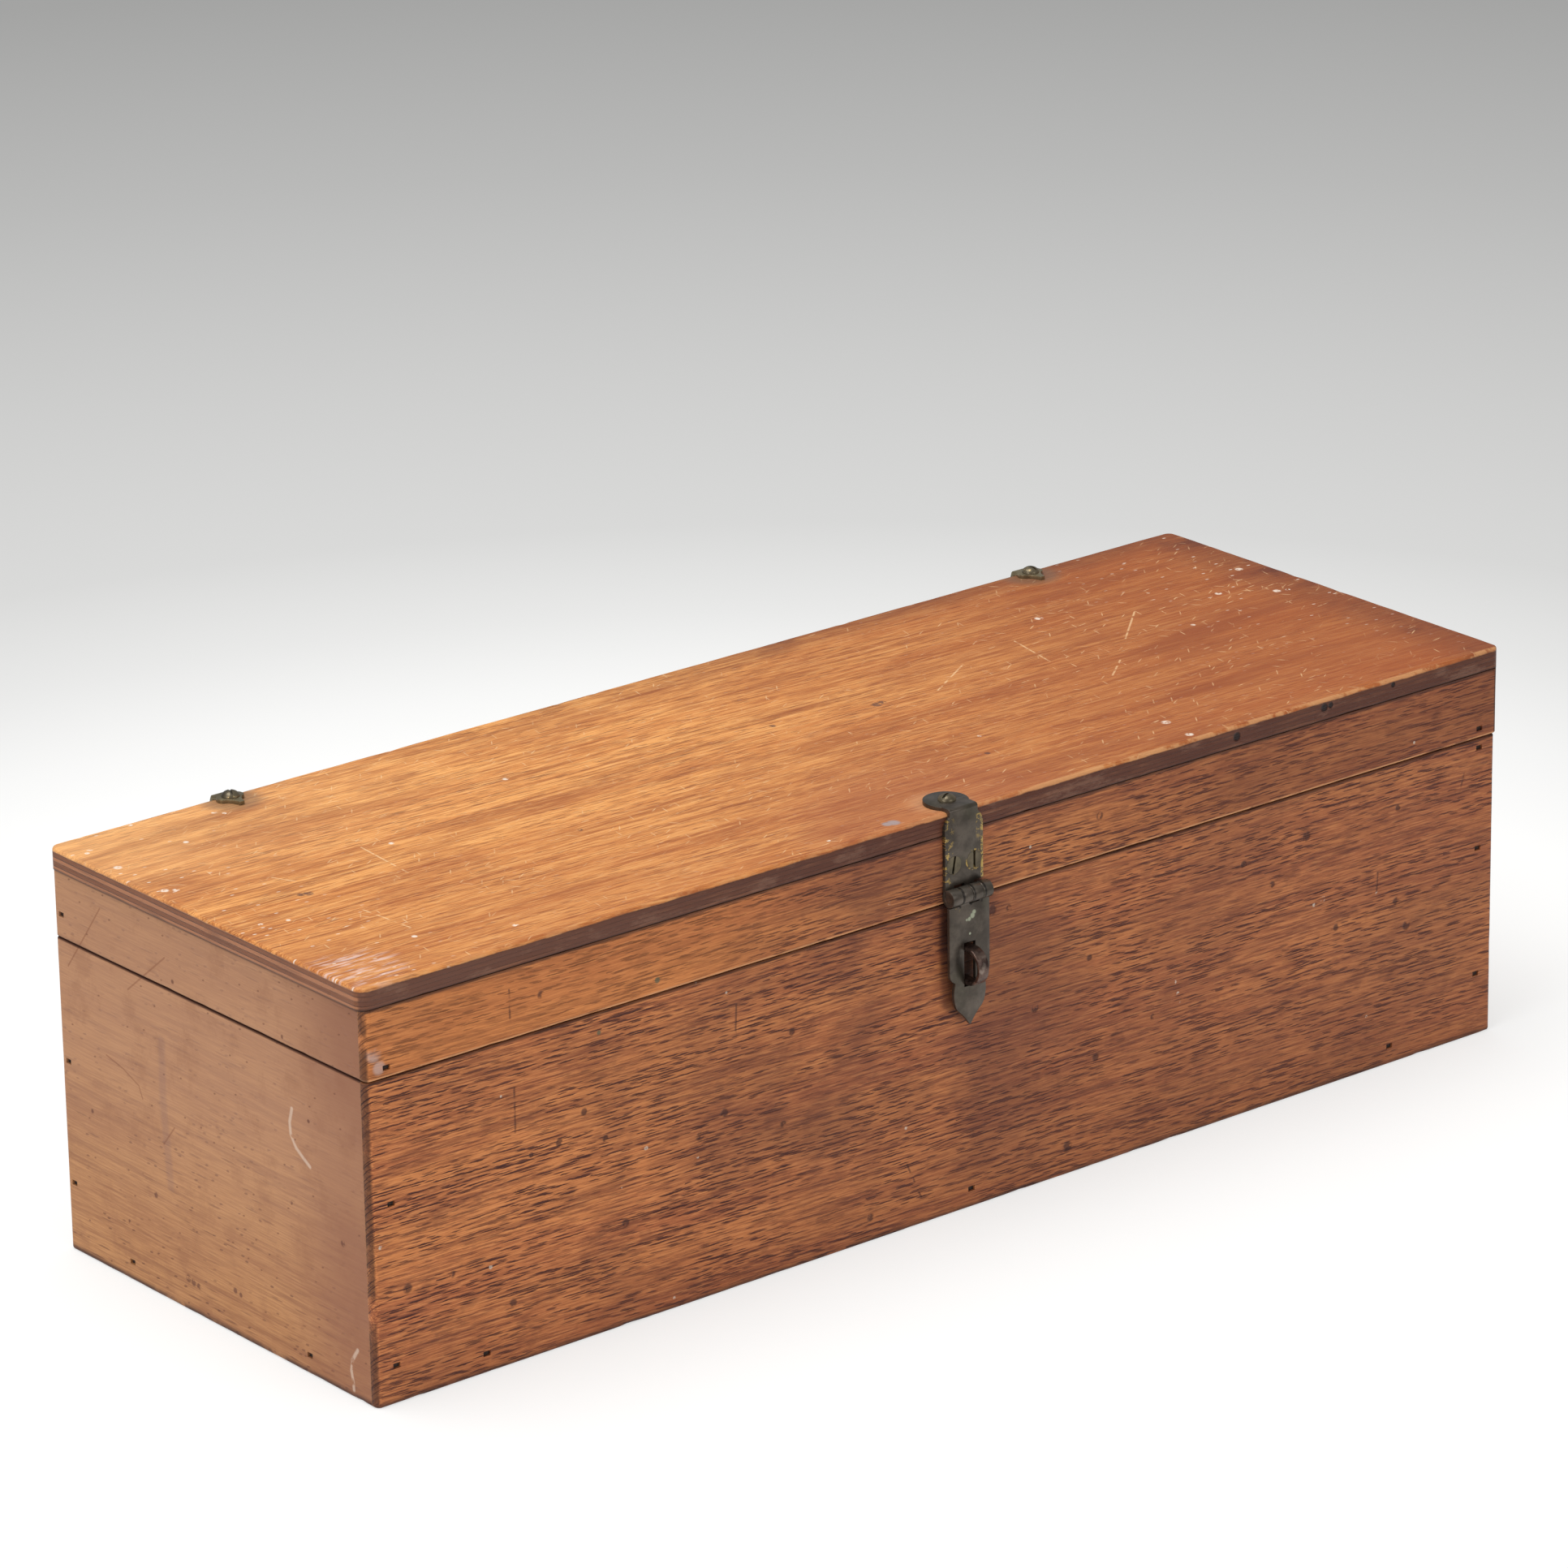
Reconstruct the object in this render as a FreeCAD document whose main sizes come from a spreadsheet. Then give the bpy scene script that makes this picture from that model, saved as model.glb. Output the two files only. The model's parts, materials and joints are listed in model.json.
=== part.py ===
import FreeCAD, Part
import Sketcher
import math
import os
import re

# A long low wooden instrument case: a nailed body, a lid sawn from the same box, two strap hinges
# bent over the lid's back edge, and a hasp over a staple in front. Millimetres, +Z up. The origin is
# the middle of the underside, +X runs along the case, and the hasp is on the -Y side.

os.makedirs("parts", exist_ok=True)
doc = FreeCAD.newDocument("microscope_case")


# Driving sizes

driving_sizes = [
    # the box
    ("case_length", 432.0, "body, outside, along X"),
    ("case_width", 152.0, "body and lid, outside, along Y"),
    ("body_height", 98.2, "body boards, from the table to the seam"),
    ("lid_height", 21.0, "lid rails, without the panel"),
    ("seam_gap", 0.3, "between body and closed lid"),
    ("lid_step", 0.8, "how far the lid outgrows the body at the right end"),
    ("front_thickness", 10.0, "front board and front rail"),
    ("back_thickness", 10.0, "back board and back rail"),
    ("end_thickness", 12.0, "end boards and end rails"),
    ("bottom_thickness", 12.0, "bottom panel"),
    ("corner_lip", 3.0, "what is left of a front board over the end board's grain"),
    ("corner_radius", 2.0, "upright corners"),
    ("foot_radius", 0.9, "lower arris of the body"),
    ("seam_chamfer", 0.35, "arrises on both sides of the seam"),
    # the lid's panel
    ("panel_thickness", 6.8, "plywood"),
    ("panel_overhang", 1.0, "past the lid's ends"),
    ("panel_corner", 3.6, "corners in plan"),
    ("panel_arris", 0.9, "worn top edge"),
    # nails
    ("nail_length", 25.0, "cut brads, with the head"),
    ("nail_thickness", 1.5, "across the grain"),
    ("nail_head", 2.4, "width of the head, along the grain"),
    ("nail_head_height", 1.1, "head, down to the shank"),
    ("nail_shank", 1.9, "width under the head"),
    ("nail_tip", 0.9, "width at the tip"),
    ("nail_sink", 0.7, "punched this far below the wood"),
    ("front_nail_inset", 7.0, "corner nails of the front, in from the end"),
    ("end_nail_inset", 4.0, "corner nails of the ends, in from the back face"),
    ("fit_clearance", 0.05, "around nails, screws, pins and staple legs"),
    # sheet brass of hinges and hasp
    ("plate_thickness", 1.2, "straps and leaves"),
    ("pin_radius", 1.4, "pins"),
    ("pin_head_radius", 2.3, "domed head at one end of a pin"),
    ("pin_head_height", 1.2, "domed head"),
    ("barrel_length", 15.3, "four knuckles and their gaps"),
    ("knuckle_gap", 0.15, "between knuckles"),
    ("eye_standoff", 0.2, "between knuckles and wood"),
    ("notch_clearance", 0.3, "between a leaf's notch and the other leaf's knuckle"),
    ("roll_gap", 0.3, "where a roll's end meets its own plate"),
    ("strap_width", 14.5, "straps and lower hinge leaves"),
    ("waist_inset", 1.95, "how much narrower a strap is where it bends, each side"),
    ("shoulder_drop", 1.1, "from the panel's top down to the end of a strap's shoulders"),
    ("shoulder_height", 4.2, "over which a strap's sides curve in to its waist"),
    ("strap_screw_rise", 11.7, "flat-headed screws, up from the lid's lower edge"),
    ("strap_screw_spacing", 7.8, "flat-headed screws of one plate"),
    # hinges
    ("hinge_inset", 61.0, "hinge centres, in from the body's ends"),
    ("hinge_leaf_length", 19.0, "lower leaf, from the pin"),
    ("hinge_leaf_corner", 2.5, "lower leaf's corners"),
    ("hinge_tab_length", 11.2, "eared tab, from the back face"),
    ("hinge_tab_screw", 3.9, "raised screw, from the back face"),
    # hasp
    ("hasp_offset", -0.5, "hasp centre, along X"),
    ("hasp_eye_rise", 2.4, "pin, up from the lid's lower edge"),
    ("hasp_tab_length", 13.7, "round tab, from the front face"),
    ("hasp_tab_radius", 6.8, "round tab"),
    ("hasp_tab_screw", 6.4, "raised screw, from the front face"),
    ("leaf_width", 15.3, "swinging leaf"),
    ("leaf_shoulder", 26.6, "from the pin"),
    ("leaf_corner", 3.2, "rounding of the shoulders"),
    ("neck_inset", 2.05, "how much narrower the neck is, each side"),
    ("neck_height", 0.5, "between shoulders and spade"),
    ("spade_length", 13.5, "from the neck to the tip"),
    ("slot_width", 4.3, "slot in the leaf"),
    ("slot_length", 13.6, "slot in the leaf"),
    ("slot_rise", 4.9, "from the shoulders up to the middle of the slot"),
    # staple
    ("staple_side_play", 0.25, "staple in the slot, each side"),
    ("staple_end_play", 0.9, "staple in the slot, above and below"),
    ("staple_drop", 0.3, "staple's middle below the slot's"),
    ("staple_thickness", 1.3, "bent strip"),
    ("staple_reach", 10.0, "how far the staple stands out of the wood"),
    ("staple_leg", 8.0, "how deep its legs go into the front board"),
    # screws
    ("screw_radius", 1.3, "shanks"),
    ("flat_head_radius", 2.8, "flat-headed screws"),
    ("flat_screw_length", 9.0, "with the head"),
    ("dome_head_radius", 2.75, "raised screws"),
    ("dome_head_height", 1.9, "raised screws"),
    ("dome_screw_length", 12.0, "below the head"),
    ("driver_slot_width", 0.8, "across the heads"),
    ("driver_slot_depth", 0.8, "across the heads"),
    # fittings inside
    ("saddle_thickness", 14.0, "cradle boards"),
    ("saddle_height", 58.0, "above the bottom panel"),
    ("limb_saddle_place", -118.0, "middle of the left saddle, along X"),
    ("tube_saddle_place", 104.0, "middle of the right saddle, along X"),
    ("limb_seat_width", 66.0, "left saddle's seat"),
    ("limb_seat_depth", 34.0, "left saddle's seat"),
    ("tube_seat_width", 44.0, "right saddle's seat"),
    ("tube_seat_depth", 26.0, "right saddle's seat"),
    ("seat_radius", 13.0, "corners of both seats"),
    ("lining_thickness", 2.0, "baize"),
    ("lining_overlap", 9.0, "baize over the top of a saddle, each side of its seat"),
    ("lining_gap", 0.2, "glue line under the baize"),
    ("block_length", 34.0, "hold-down blocks in the lid, along X"),
    ("block_width", 58.0, "hold-down blocks, along Y"),
    ("block_height", 13.0, "hold-down blocks"),
    ("block_corner", 5.0, "upright corners of a block"),
    # how far cutting shapes run past what they cut
    ("overrun", 1.0, "all cuts"),
]

sizes = doc.addObject("Spreadsheet::Sheet", "sizes")
for row, (alias, size, note) in enumerate(driving_sizes, start=1):
    sizes.set(f"A{row}", note)
    sizes.set(f"B{row}", str(size))
    sizes.setAlias(f"B{row}", alias)
doc.recompute()
known = {alias for alias, size, note in driving_sizes}

# Places that several pieces share, worked out from the driving sizes
shorthand = {
    "lid_bottom": "(body_height + seam_gap)",
    "lid_top": "(body_height + seam_gap + lid_height)",
    "case_top": "(body_height + seam_gap + lid_height + panel_thickness)",
    "lid_right": "(case_length / 2 + lid_step)",
    "eye_radius": "(pin_radius + fit_clearance + plate_thickness)",
    "bore_radius": "(pin_radius + fit_clearance)",
    "pin_from_wood": "(pin_radius + fit_clearance + plate_thickness + eye_standoff)",
    "screw_hole": "(screw_radius + fit_clearance)",
    "nail_depth": "(nail_sink + nail_length)",
    "knuckle": "((barrel_length - 3 * knuckle_gap) / 4)",
    "waist": "(strap_width - 2 * waist_inset)",
    "hasp_eye_height": "(body_height + seam_gap + hasp_eye_rise)",
    "hinge_eye_height": "(body_height + seam_gap / 2)",
    "hinge_place": "(case_length / 2 - hinge_inset)",
    "strap_screw_height": "(body_height + seam_gap + strap_screw_rise)",
    "leaf_screw_height": "(body_height - strap_screw_rise)",
    "slot_middle": "(leaf_shoulder - slot_rise)",
    "staple_half": "(slot_length / 2 - staple_end_play)",
    "staple_width": "(slot_width - 2 * staple_side_play)",
    "staple_height": "(body_height + seam_gap + hasp_eye_rise - leaf_shoulder + slot_rise - staple_drop)",
}


def formula(text):
    """Writes the shorthand out and points every driving size at the sheet."""
    for word, meaning in shorthand.items():
        text = re.sub(rf"\b{word}\b", meaning, text)
    return re.sub(r"[a-z_]+", lambda found: f"sizes.{found[0]}" if found[0] in known else found[0], text)


def number(text):
    """What a formula comes to, in millimetres."""
    return float(sizes.evalExpression(formula(text)))


def bind(item, path, text):
    item.setExpression(path, formula(text))


def place(item, x="0", y="0", z="0", turn=FreeCAD.Rotation()):
    """Puts a finished sub-part where it belongs in the case."""
    item.Placement = FreeCAD.Placement(FreeCAD.Vector(), turn)
    bind(item, "Placement.Base.x", x)
    bind(item, "Placement.Base.y", y)
    bind(item, "Placement.Base.z", z)


x_axis = FreeCAD.Vector(1, 0, 0)
y_axis = FreeCAD.Vector(0, 1, 0)
z_axis = FreeCAD.Vector(0, 0, 1)


# Sketches

def sketch_on(body, name, role, offset="0"):
    """A sketch on one of the body's own planes, moved along the plane's normal."""
    plane = next(item for item in body.Origin.OriginFeatures if item.Role == role)
    sketch = body.newObject("Sketcher::SketchObject", name)
    sketch.AttachmentSupport = [(plane, "")]
    sketch.MapMode = "FlatFace"
    bind(sketch, "AttachmentOffset.Base.z", offset)
    return sketch


def hold(sketch, value, *constraint):
    """A dimension that follows the sheet."""
    index = sketch.addConstraint(Sketcher.Constraint(*constraint, number(value)))
    bind(sketch, f"Constraints[{index}]", value)


def arc_between(start, end, radius, hollow):
    """The short arc from start to end, which bulges round a counter-clockwise outline or is hollow."""
    chord = end - start
    rise = math.sqrt(radius**2 - chord.Length**2 / 4)
    to_left = FreeCAD.Vector(-chord.y, chord.x, 0) / chord.Length
    centre = (start + end) / 2 + to_left * (-rise if hollow else rise)
    first, last = (end, start) if hollow else (start, end)
    angles = [math.atan2(point.y - centre.y, point.x - centre.x) for point in (first, last)]
    return Part.ArcOfCircle(Part.Circle(centre, z_axis, radius), *angles)


def outline(sketch, corners):
    """A closed outline, counter-clockwise. A corner is (x, y) where a line leads on, (x, y, radius) where
    a bulging arc does, and (x, y, radius, "hollow") where the arc curves inwards."""
    points = [FreeCAD.Vector(number(corner[0]), number(corner[1]), 0) for corner in corners]
    first = sketch.GeometryCount
    ends = []
    for step, corner in enumerate(corners):
        start, end = points[step], points[(step + 1) % len(points)]
        if len(corner) == 2:
            sketch.addGeometry(Part.LineSegment(start, end), False)
            ends.append((1, 2))
        else:
            hollow = len(corner) == 4
            sketch.addGeometry(arc_between(start, end, number(corner[2]), hollow), False)
            ends.append((2, 1) if hollow else (1, 2))
    for step, corner in enumerate(corners):
        following = (step + 1) % len(corners)
        sketch.addConstraint(
            Sketcher.Constraint(
                "Coincident", first + step, ends[step][1], first + following, ends[following][0]
            )
        )
        hold(sketch, corner[0], "DistanceX", -1, 1, first + step, ends[step][0])
        hold(sketch, corner[1], "DistanceY", -1, 1, first + step, ends[step][0])
        if len(corner) > 2:
            hold(sketch, corner[2], "Radius", first + step)


def rectangle(sketch, x_low, y_low, x_high, y_high):
    outline(sketch, [(x_low, y_low), (x_high, y_low), (x_high, y_high), (x_low, y_high)])


def mirrored(half):
    """Completes an outline from its right half, bottom up, which may end on the middle line."""
    left_half = []
    for step in range(len(half) - 1, -1, -1):
        x, y = half[step][:2]
        arc = half[step - 1][2:] if step else ()
        left_half.append((f"-({x})", y, *arc))
    right_half = half[:-1] if half[-1][0] == "0" else half
    return [*right_half, *left_half]


def circles(sketch, centres, radius):
    """Equal circles at (x, y)."""
    for x, y in centres:
        centre = FreeCAD.Vector(number(x), number(y), 0)
        ring = sketch.addGeometry(Part.Circle(centre, z_axis, number(radius)), False)
        hold(sketch, x, "DistanceX", -1, 1, ring, 3)
        hold(sketch, y, "DistanceY", -1, 1, ring, 3)
        hold(sketch, radius, "Radius", ring)


# Features

def pad(body, sketch, length, midplane=False):
    feature = body.newObject("PartDesign::Pad", f"{sketch.Name}_pad")
    feature.Profile = sketch
    feature.Midplane = midplane
    bind(feature, "Length", length)
    doc.recompute()


def pocket(body, sketch, length, along_normal=False):
    """Cuts against the sketch's normal or along it, and makes sure that something was cut."""
    before = body.Shape.Volume
    feature = body.newObject("PartDesign::Pocket", f"{sketch.Name}_pocket")
    feature.Profile = sketch
    feature.Reversed = along_normal
    bind(feature, "Length", length)
    doc.recompute()
    if body.Shape.Volume >= before:
        raise RuntimeError(f"{feature.Name} cuts nothing")


def revolve(body, sketch):
    """Turns a half section in the XZ plane about Z."""
    feature = body.newObject("PartDesign::Revolution", f"{sketch.Name}_turned")
    feature.Profile = sketch
    feature.ReferenceAxis = (sketch, ["V_Axis"])
    feature.Angle = 360
    doc.recompute()


def countersink(body, sketch):
    """Conical seats, as deep as the plate is thick."""
    doc.recompute()
    before = body.Shape.Volume
    feature = body.newObject("PartDesign::Hole", f"{sketch.Name}_seats")
    feature.Profile = sketch
    feature.DepthType = "Dimension"
    feature.HoleCutType = "Countersink"
    bind(feature, "Depth", "plate_thickness + overrun")
    bind(feature, "Diameter", "2 * screw_hole")
    bind(feature, "HoleCutDiameter", "2 * (flat_head_radius + fit_clearance)")
    cone_angle = "2 * atan((flat_head_radius - screw_radius) / plate_thickness)"
    bind(feature, "HoleCutCountersinkAngle", cone_angle)
    doc.recompute()
    if body.Shape.Volume >= before:
        raise RuntimeError(f"{feature.Name} cuts nothing")


def edges_along(body, direction, lines):
    """Names the straight edges along x, y or z that pass through given places on the other two axes."""
    others = [axis for axis in "xyz" if axis != direction]
    wanted = [[number(value) for value in line] for line in lines]
    tolerance = number("fit_clearance / 5")
    names = []
    for index, edge in enumerate(body.Shape.Edges, start=1):
        if not isinstance(edge.Curve, Part.Line) or abs(getattr(edge.Curve.Direction, direction)) < 0.999:
            continue
        found = [getattr(edge.CenterOfMass, axis) for axis in others]
        if any(math.dist(found, line) < tolerance for line in wanted):
            names.append(f"Edge{index}")
    return names


def soften(body, kind, size, direction, lines):
    """Fillet or Chamfer along straight edges and what runs on smoothly from them."""
    base = body.Tip
    feature = body.newObject(f"PartDesign::{kind}", f"{body.Name}_{kind}")
    feature.Base = (base, edges_along(body, direction, lines))
    bind(feature, "Radius" if kind == "Fillet" else "Size", size)
    doc.recompute()


subparts = []


def new_subpart(kind, label):
    item = doc.addObject(kind, label)
    item.Label = label
    subparts.append(item)
    return item


# Nails and screws: one of each is modelled, head up, with the surface that it is driven into at z = 0

# A cut brad, stamped from sheet with one straight side: the other tapers, and the head stands out on it
nail = doc.addObject("PartDesign::Body", "nail")
nail_side = sketch_on(nail, "nail_side", "XZ_Plane")
outline(
    nail_side,
    [
        ("nail_head / 2 - nail_tip", "-nail_depth"),
        ("nail_head / 2", "-nail_depth"),
        ("nail_head / 2", "-nail_sink"),
        ("-nail_head / 2", "-nail_sink"),
        ("nail_head / 2 - nail_shank", "-nail_sink - nail_head_height"),
    ],
)
pad(nail, nail_side, "nail_thickness", midplane=True)


def fastener(label, half_section):
    body = doc.addObject("PartDesign::Body", label)
    body.Label = label
    section = sketch_on(body, f"{label}_section", "XZ_Plane")
    outline(section, half_section)
    revolve(body, section)
    return body


def driver_slot(body, top, reach):
    """A slot across the head, along local Y."""
    slot = sketch_on(body, f"{body.Name}_slot", "XY_Plane", top)
    rectangle(slot, "-driver_slot_width / 2", f"-({reach})", "driver_slot_width / 2", reach)
    pocket(body, slot, "driver_slot_depth")


flat_screw = fastener(
    "flat_screw",
    [
        ("0", "-flat_screw_length"),
        ("screw_radius", "-flat_screw_length"),
        ("screw_radius", "-plate_thickness"),
        ("flat_head_radius", "0"),
        ("0", "0"),
    ],
)
driver_slot(flat_screw, "0", "flat_head_radius")

dome_screw = fastener(
    "dome_screw",
    [
        ("0", "-dome_screw_length"),
        ("screw_radius", "-dome_screw_length"),
        ("screw_radius", "0"),
        ("dome_head_radius", "0", "(dome_head_radius^2 + dome_head_height^2) / (2 * dome_head_height)"),
        ("0", "dome_head_height"),
    ],
)
driver_slot(dome_screw, "dome_head_height", "dome_head_radius")

hinge_pin = fastener(
    "pin",
    [
        ("0", "-barrel_length"),
        ("pin_radius", "-barrel_length"),
        ("pin_radius", "0"),
        ("pin_head_radius", "0", "(pin_head_radius^2 + pin_head_height^2) / (2 * pin_head_height)"),
        ("0", "pin_head_height"),
    ],
)

# Turns that bring a head, modelled upwards, to each side of the case
facing = {
    "front": FreeCAD.Rotation(x_axis, 90),
    "back": FreeCAD.Rotation(x_axis, -90),
    "left": FreeCAD.Rotation(y_axis, -90),
    "right": FreeCAD.Rotation(y_axis, 90),
    "top": FreeCAD.Rotation(),
}


def driven(label, pattern, spots):
    """A sub-part of equal fasteners. A spot is (side, x, y, z) and, where it matters, the twist."""
    group = new_subpart("Part::Compound", label)
    copies = []
    for index, (side, x, y, z, *twist) in enumerate(spots, start=1):
        copy = doc.addObject("App::Link", f"{label}_{index}")
        copy.LinkedObject = pattern
        place(copy, x, y, z, facing[side] * FreeCAD.Rotation(z_axis, *twist or [0]))
        copies.append(copy)
    group.Links = copies
    doc.recompute()


# Where things go: ends and faces of the box, and nails driven by hand, unevenly, as shares of its sides

left = "-case_length / 2"
right = "case_length / 2"
front = "-case_width / 2"
back = "case_width / 2"
body_ends = {"left": left, "right": right}
lid_ends = {"left": left, "right": "lid_right"}
front_nail_x = {"left": f"{left} + front_nail_inset", "right": f"{right} - front_nail_inset"}
end_nail_y = "case_width / 2 - end_nail_inset"
bottom_nail_height = "bottom_thickness / 2"

long_nail_shares = (-0.411, 0.0055, 0.399)
short_nail_shares = (-0.29, 0.286)
front_corner_shares = {"left": (0.119, 0.618), "right": (0.209, 0.634, 0.97)}
end_corner_shares = {"left": (0.222, 0.613), "right": (0.187, 0.641, 0.955)}
lid_front_share = 0.143
lid_end_share = 0.352

long_nail_x = [f"{share} * case_length" for share in long_nail_shares]
short_nail_y = [f"{share} * case_width" for share in short_nail_shares]
front_corner_z = {end: [f"{z} * body_height" for z in zs] for end, zs in front_corner_shares.items()}
end_corner_z = {end: [f"{z} * body_height" for z in zs] for end, zs in end_corner_shares.items()}
lid_front_z = f"{lid_front_share} * lid_height"
lid_end_z = f"{lid_end_share} * lid_height"

strap_screw_x = ("-strap_screw_spacing / 2", "strap_screw_spacing / 2")
hinge_x = {"left": "-hinge_place", "right": "hinge_place"}
hinge_screw_x = [f"{x} + {shift}" for x in hinge_x.values() for shift in strap_screw_x]
hasp_screw_x = [f"hasp_offset + {shift}" for shift in strap_screw_x]
hasp_tab_spot = ("hasp_offset", "-case_width / 2 + hasp_tab_screw")
hinge_tab_spots = [(x, "case_width / 2 - hinge_tab_screw") for x in hinge_x.values()]

# Each face: the plane it is parallel to, how far out it lies, and whether cuts follow the plane's normal
faces = {
    "front": ("XZ_Plane", "case_width / 2", False),
    "back": ("XZ_Plane", "-case_width / 2", True),
    "left": ("YZ_Plane", left, True),
    "right": ("YZ_Plane", right, False),
    "lid right": ("YZ_Plane", "lid_right", False),
    "rail top": ("XY_Plane", "lid_height", False),
    "panel top": ("XY_Plane", "panel_thickness", False),
}


def bore(body, name, face, spots, radius, depth):
    """Equal round holes from a face of the box, as deep as asked wherever the board starts."""
    plane, offset, along_normal = faces[face]
    sketch = sketch_on(body, f"{body.Name}_{name}", plane, offset)
    circles(sketch, spots, radius)
    pocket(body, sketch, depth, along_normal)


def nail_holes(body, name, face, spots, depth, width):
    """Oblong holes from a face of the box, along the nails' straight side."""
    plane, offset, along_normal = faces[face]
    sketch = sketch_on(body, f"{body.Name}_{name}", plane, offset)
    for x, z in spots:
        rectangle(
            sketch,
            f"{x} + nail_head / 2 - {width} - fit_clearance",
            f"{z} - nail_thickness / 2 - fit_clearance",
            f"{x} + nail_head / 2 + fit_clearance",
            f"{z} + nail_thickness / 2 + fit_clearance",
        )
    pocket(body, sketch, depth, along_normal)


def nail_bores(body, name, face, spots, outer=True):
    """In the outer board the punched heads have opened the holes further."""
    nail_holes(body, f"{name}_shanks", face, spots, "nail_depth + fit_clearance", "nail_shank")
    if outer:
        nail_holes(body, f"{name}_heads", face, spots, "nail_sink + nail_head_height", "nail_head")


# Boards of the body and rails of the lid, cut from one box

def board(label, plan, height, corners, edge, levels):
    """A board drawn in plan. Its upright outer corners are rounded, then its edges at each level."""
    body = new_subpart("PartDesign::Body", label)
    sketch = sketch_on(body, f"{label}_plan", "XY_Plane")
    outline(sketch, plan)
    pad(body, sketch, height)
    if corners:
        soften(body, "Fillet", "min(corner_radius, corner_lip * 3 / 4)", "z", corners)
    direction, line = edge
    for kind, size, level in levels:
        soften(body, kind, size, direction, [(line, level)])
    return body


def box_of_boards(names, right_end, height, levels):
    """Front, back, left and right boards. The front one laps the ends, which lap the back one."""
    inner_left = f"{left} + end_thickness"
    inner_right = f"{right_end} - end_thickness"
    lip = f"{front} + corner_lip"
    inner_front = f"{front} + front_thickness"
    inner_back = f"{back} - back_thickness"
    front_plan = [
        (left, front),
        (right_end, front),
        (right_end, lip),
        (inner_right, lip),
        (inner_right, inner_front),
        (inner_left, inner_front),
        (inner_left, lip),
        (left, lip),
    ]
    back_plan = [
        (inner_left, inner_back),
        (inner_right, inner_back),
        (inner_right, back),
        (inner_left, back),
    ]
    left_plan = [(left, lip), (inner_left, lip), (inner_left, back), (left, back)]
    right_plan = [(inner_right, lip), (right_end, lip), (right_end, back), (inner_right, back)]
    return (
        board(names[0], front_plan, height, [(left, front), (right_end, front)], ("x", front), levels),
        board(names[1], back_plan, height, [], ("x", back), levels),
        board(names[2], left_plan, height, [(left, back)], ("y", left), levels),
        board(names[3], right_plan, height, [(right_end, back)], ("y", right_end), levels),
    )


seam_edge = "min(seam_chamfer, corner_radius / 4)"
foot_edge = "min(foot_radius, corner_radius / 2)"
body_levels = [("Fillet", foot_edge, "0"), ("Chamfer", seam_edge, "body_height")]
body_names = ("body_front_board", "body_back_board", "body_left_end", "body_right_end")
front_board, back_board, left_end, right_end = box_of_boards(
    body_names, right, "body_height", body_levels
)

lid_names = ("lid_front_rail", "lid_back_rail", "lid_left_rail", "lid_right_rail")
lid_levels = [("Chamfer", seam_edge, "0")]
front_rail, back_rail, left_rail, right_rail = box_of_boards(
    lid_names, "lid_right", "lid_height", lid_levels
)

bottom = new_subpart("PartDesign::Body", "bottom_panel")
bottom_plan = sketch_on(bottom, "bottom_plan", "XY_Plane")
rectangle(
    bottom_plan,
    f"{left} + end_thickness",
    f"{front} + front_thickness",
    f"{right} - end_thickness",
    f"{back} - back_thickness",
)
pad(bottom, bottom_plan, "bottom_thickness")

panel = new_subpart("PartDesign::Body", "lid_panel")
panel_plan = sketch_on(panel, "panel_plan", "XY_Plane")
panel_left = f"{left} - panel_overhang"
panel_right = "lid_right + panel_overhang"
rectangle(panel_plan, panel_left, front, panel_right, back)
pad(panel, panel_plan, "panel_thickness")
panel_corners = [(x, y) for x in (panel_left, panel_right) for y in (front, back)]
soften(panel, "Fillet", "panel_corner", "z", panel_corners)
top_arris = "min(panel_arris, panel_thickness / 2, panel_corner / 2)"
soften(panel, "Fillet", top_arris, "x", [(front, "panel_thickness")])

# Nail holes. A nail goes through an outer board into the board or panel behind it.
front_corner_spots = [(front_nail_x[end], z) for end in front_corner_z for z in front_corner_z[end]]
long_spots = [(x, bottom_nail_height) for x in long_nail_x]
short_spots = [(y, bottom_nail_height) for y in short_nail_y]
nail_bores(front_board, "corner", "front", front_corner_spots)
nail_bores(front_board, "bottom", "front", long_spots)
nail_bores(back_board, "bottom", "back", long_spots)
nail_bores(bottom, "front", "front", long_spots, outer=False)
nail_bores(bottom, "back", "back", long_spots, outer=False)
for end, end_board in (("left", left_end), ("right", right_end)):
    corner_spots = [(end_nail_y, z) for z in end_corner_z[end]]
    nail_bores(end_board, "corner", end, corner_spots)
    nail_bores(end_board, "bottom", end, short_spots)
    nail_bores(bottom, end, end, short_spots, outer=False)
    nail_bores(back_board, end, end, corner_spots, outer=False)
    into_end = [(front_nail_x[end], z) for z in front_corner_z[end]]
    nail_bores(end_board, "front", "front", into_end, outer=False)
nail_bores(front_rail, "corner", "front", [(x, lid_front_z) for x in front_nail_x.values()])
for end, rail, face in (("left", left_rail, "left"), ("right", right_rail, "lid right")):
    nail_bores(rail, "corner", face, [(end_nail_y, lid_end_z)])
    nail_bores(back_rail, end, face, [(end_nail_y, lid_end_z)], outer=False)
    nail_bores(rail, "front", "front", [(front_nail_x[end], lid_front_z)], outer=False)

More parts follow.
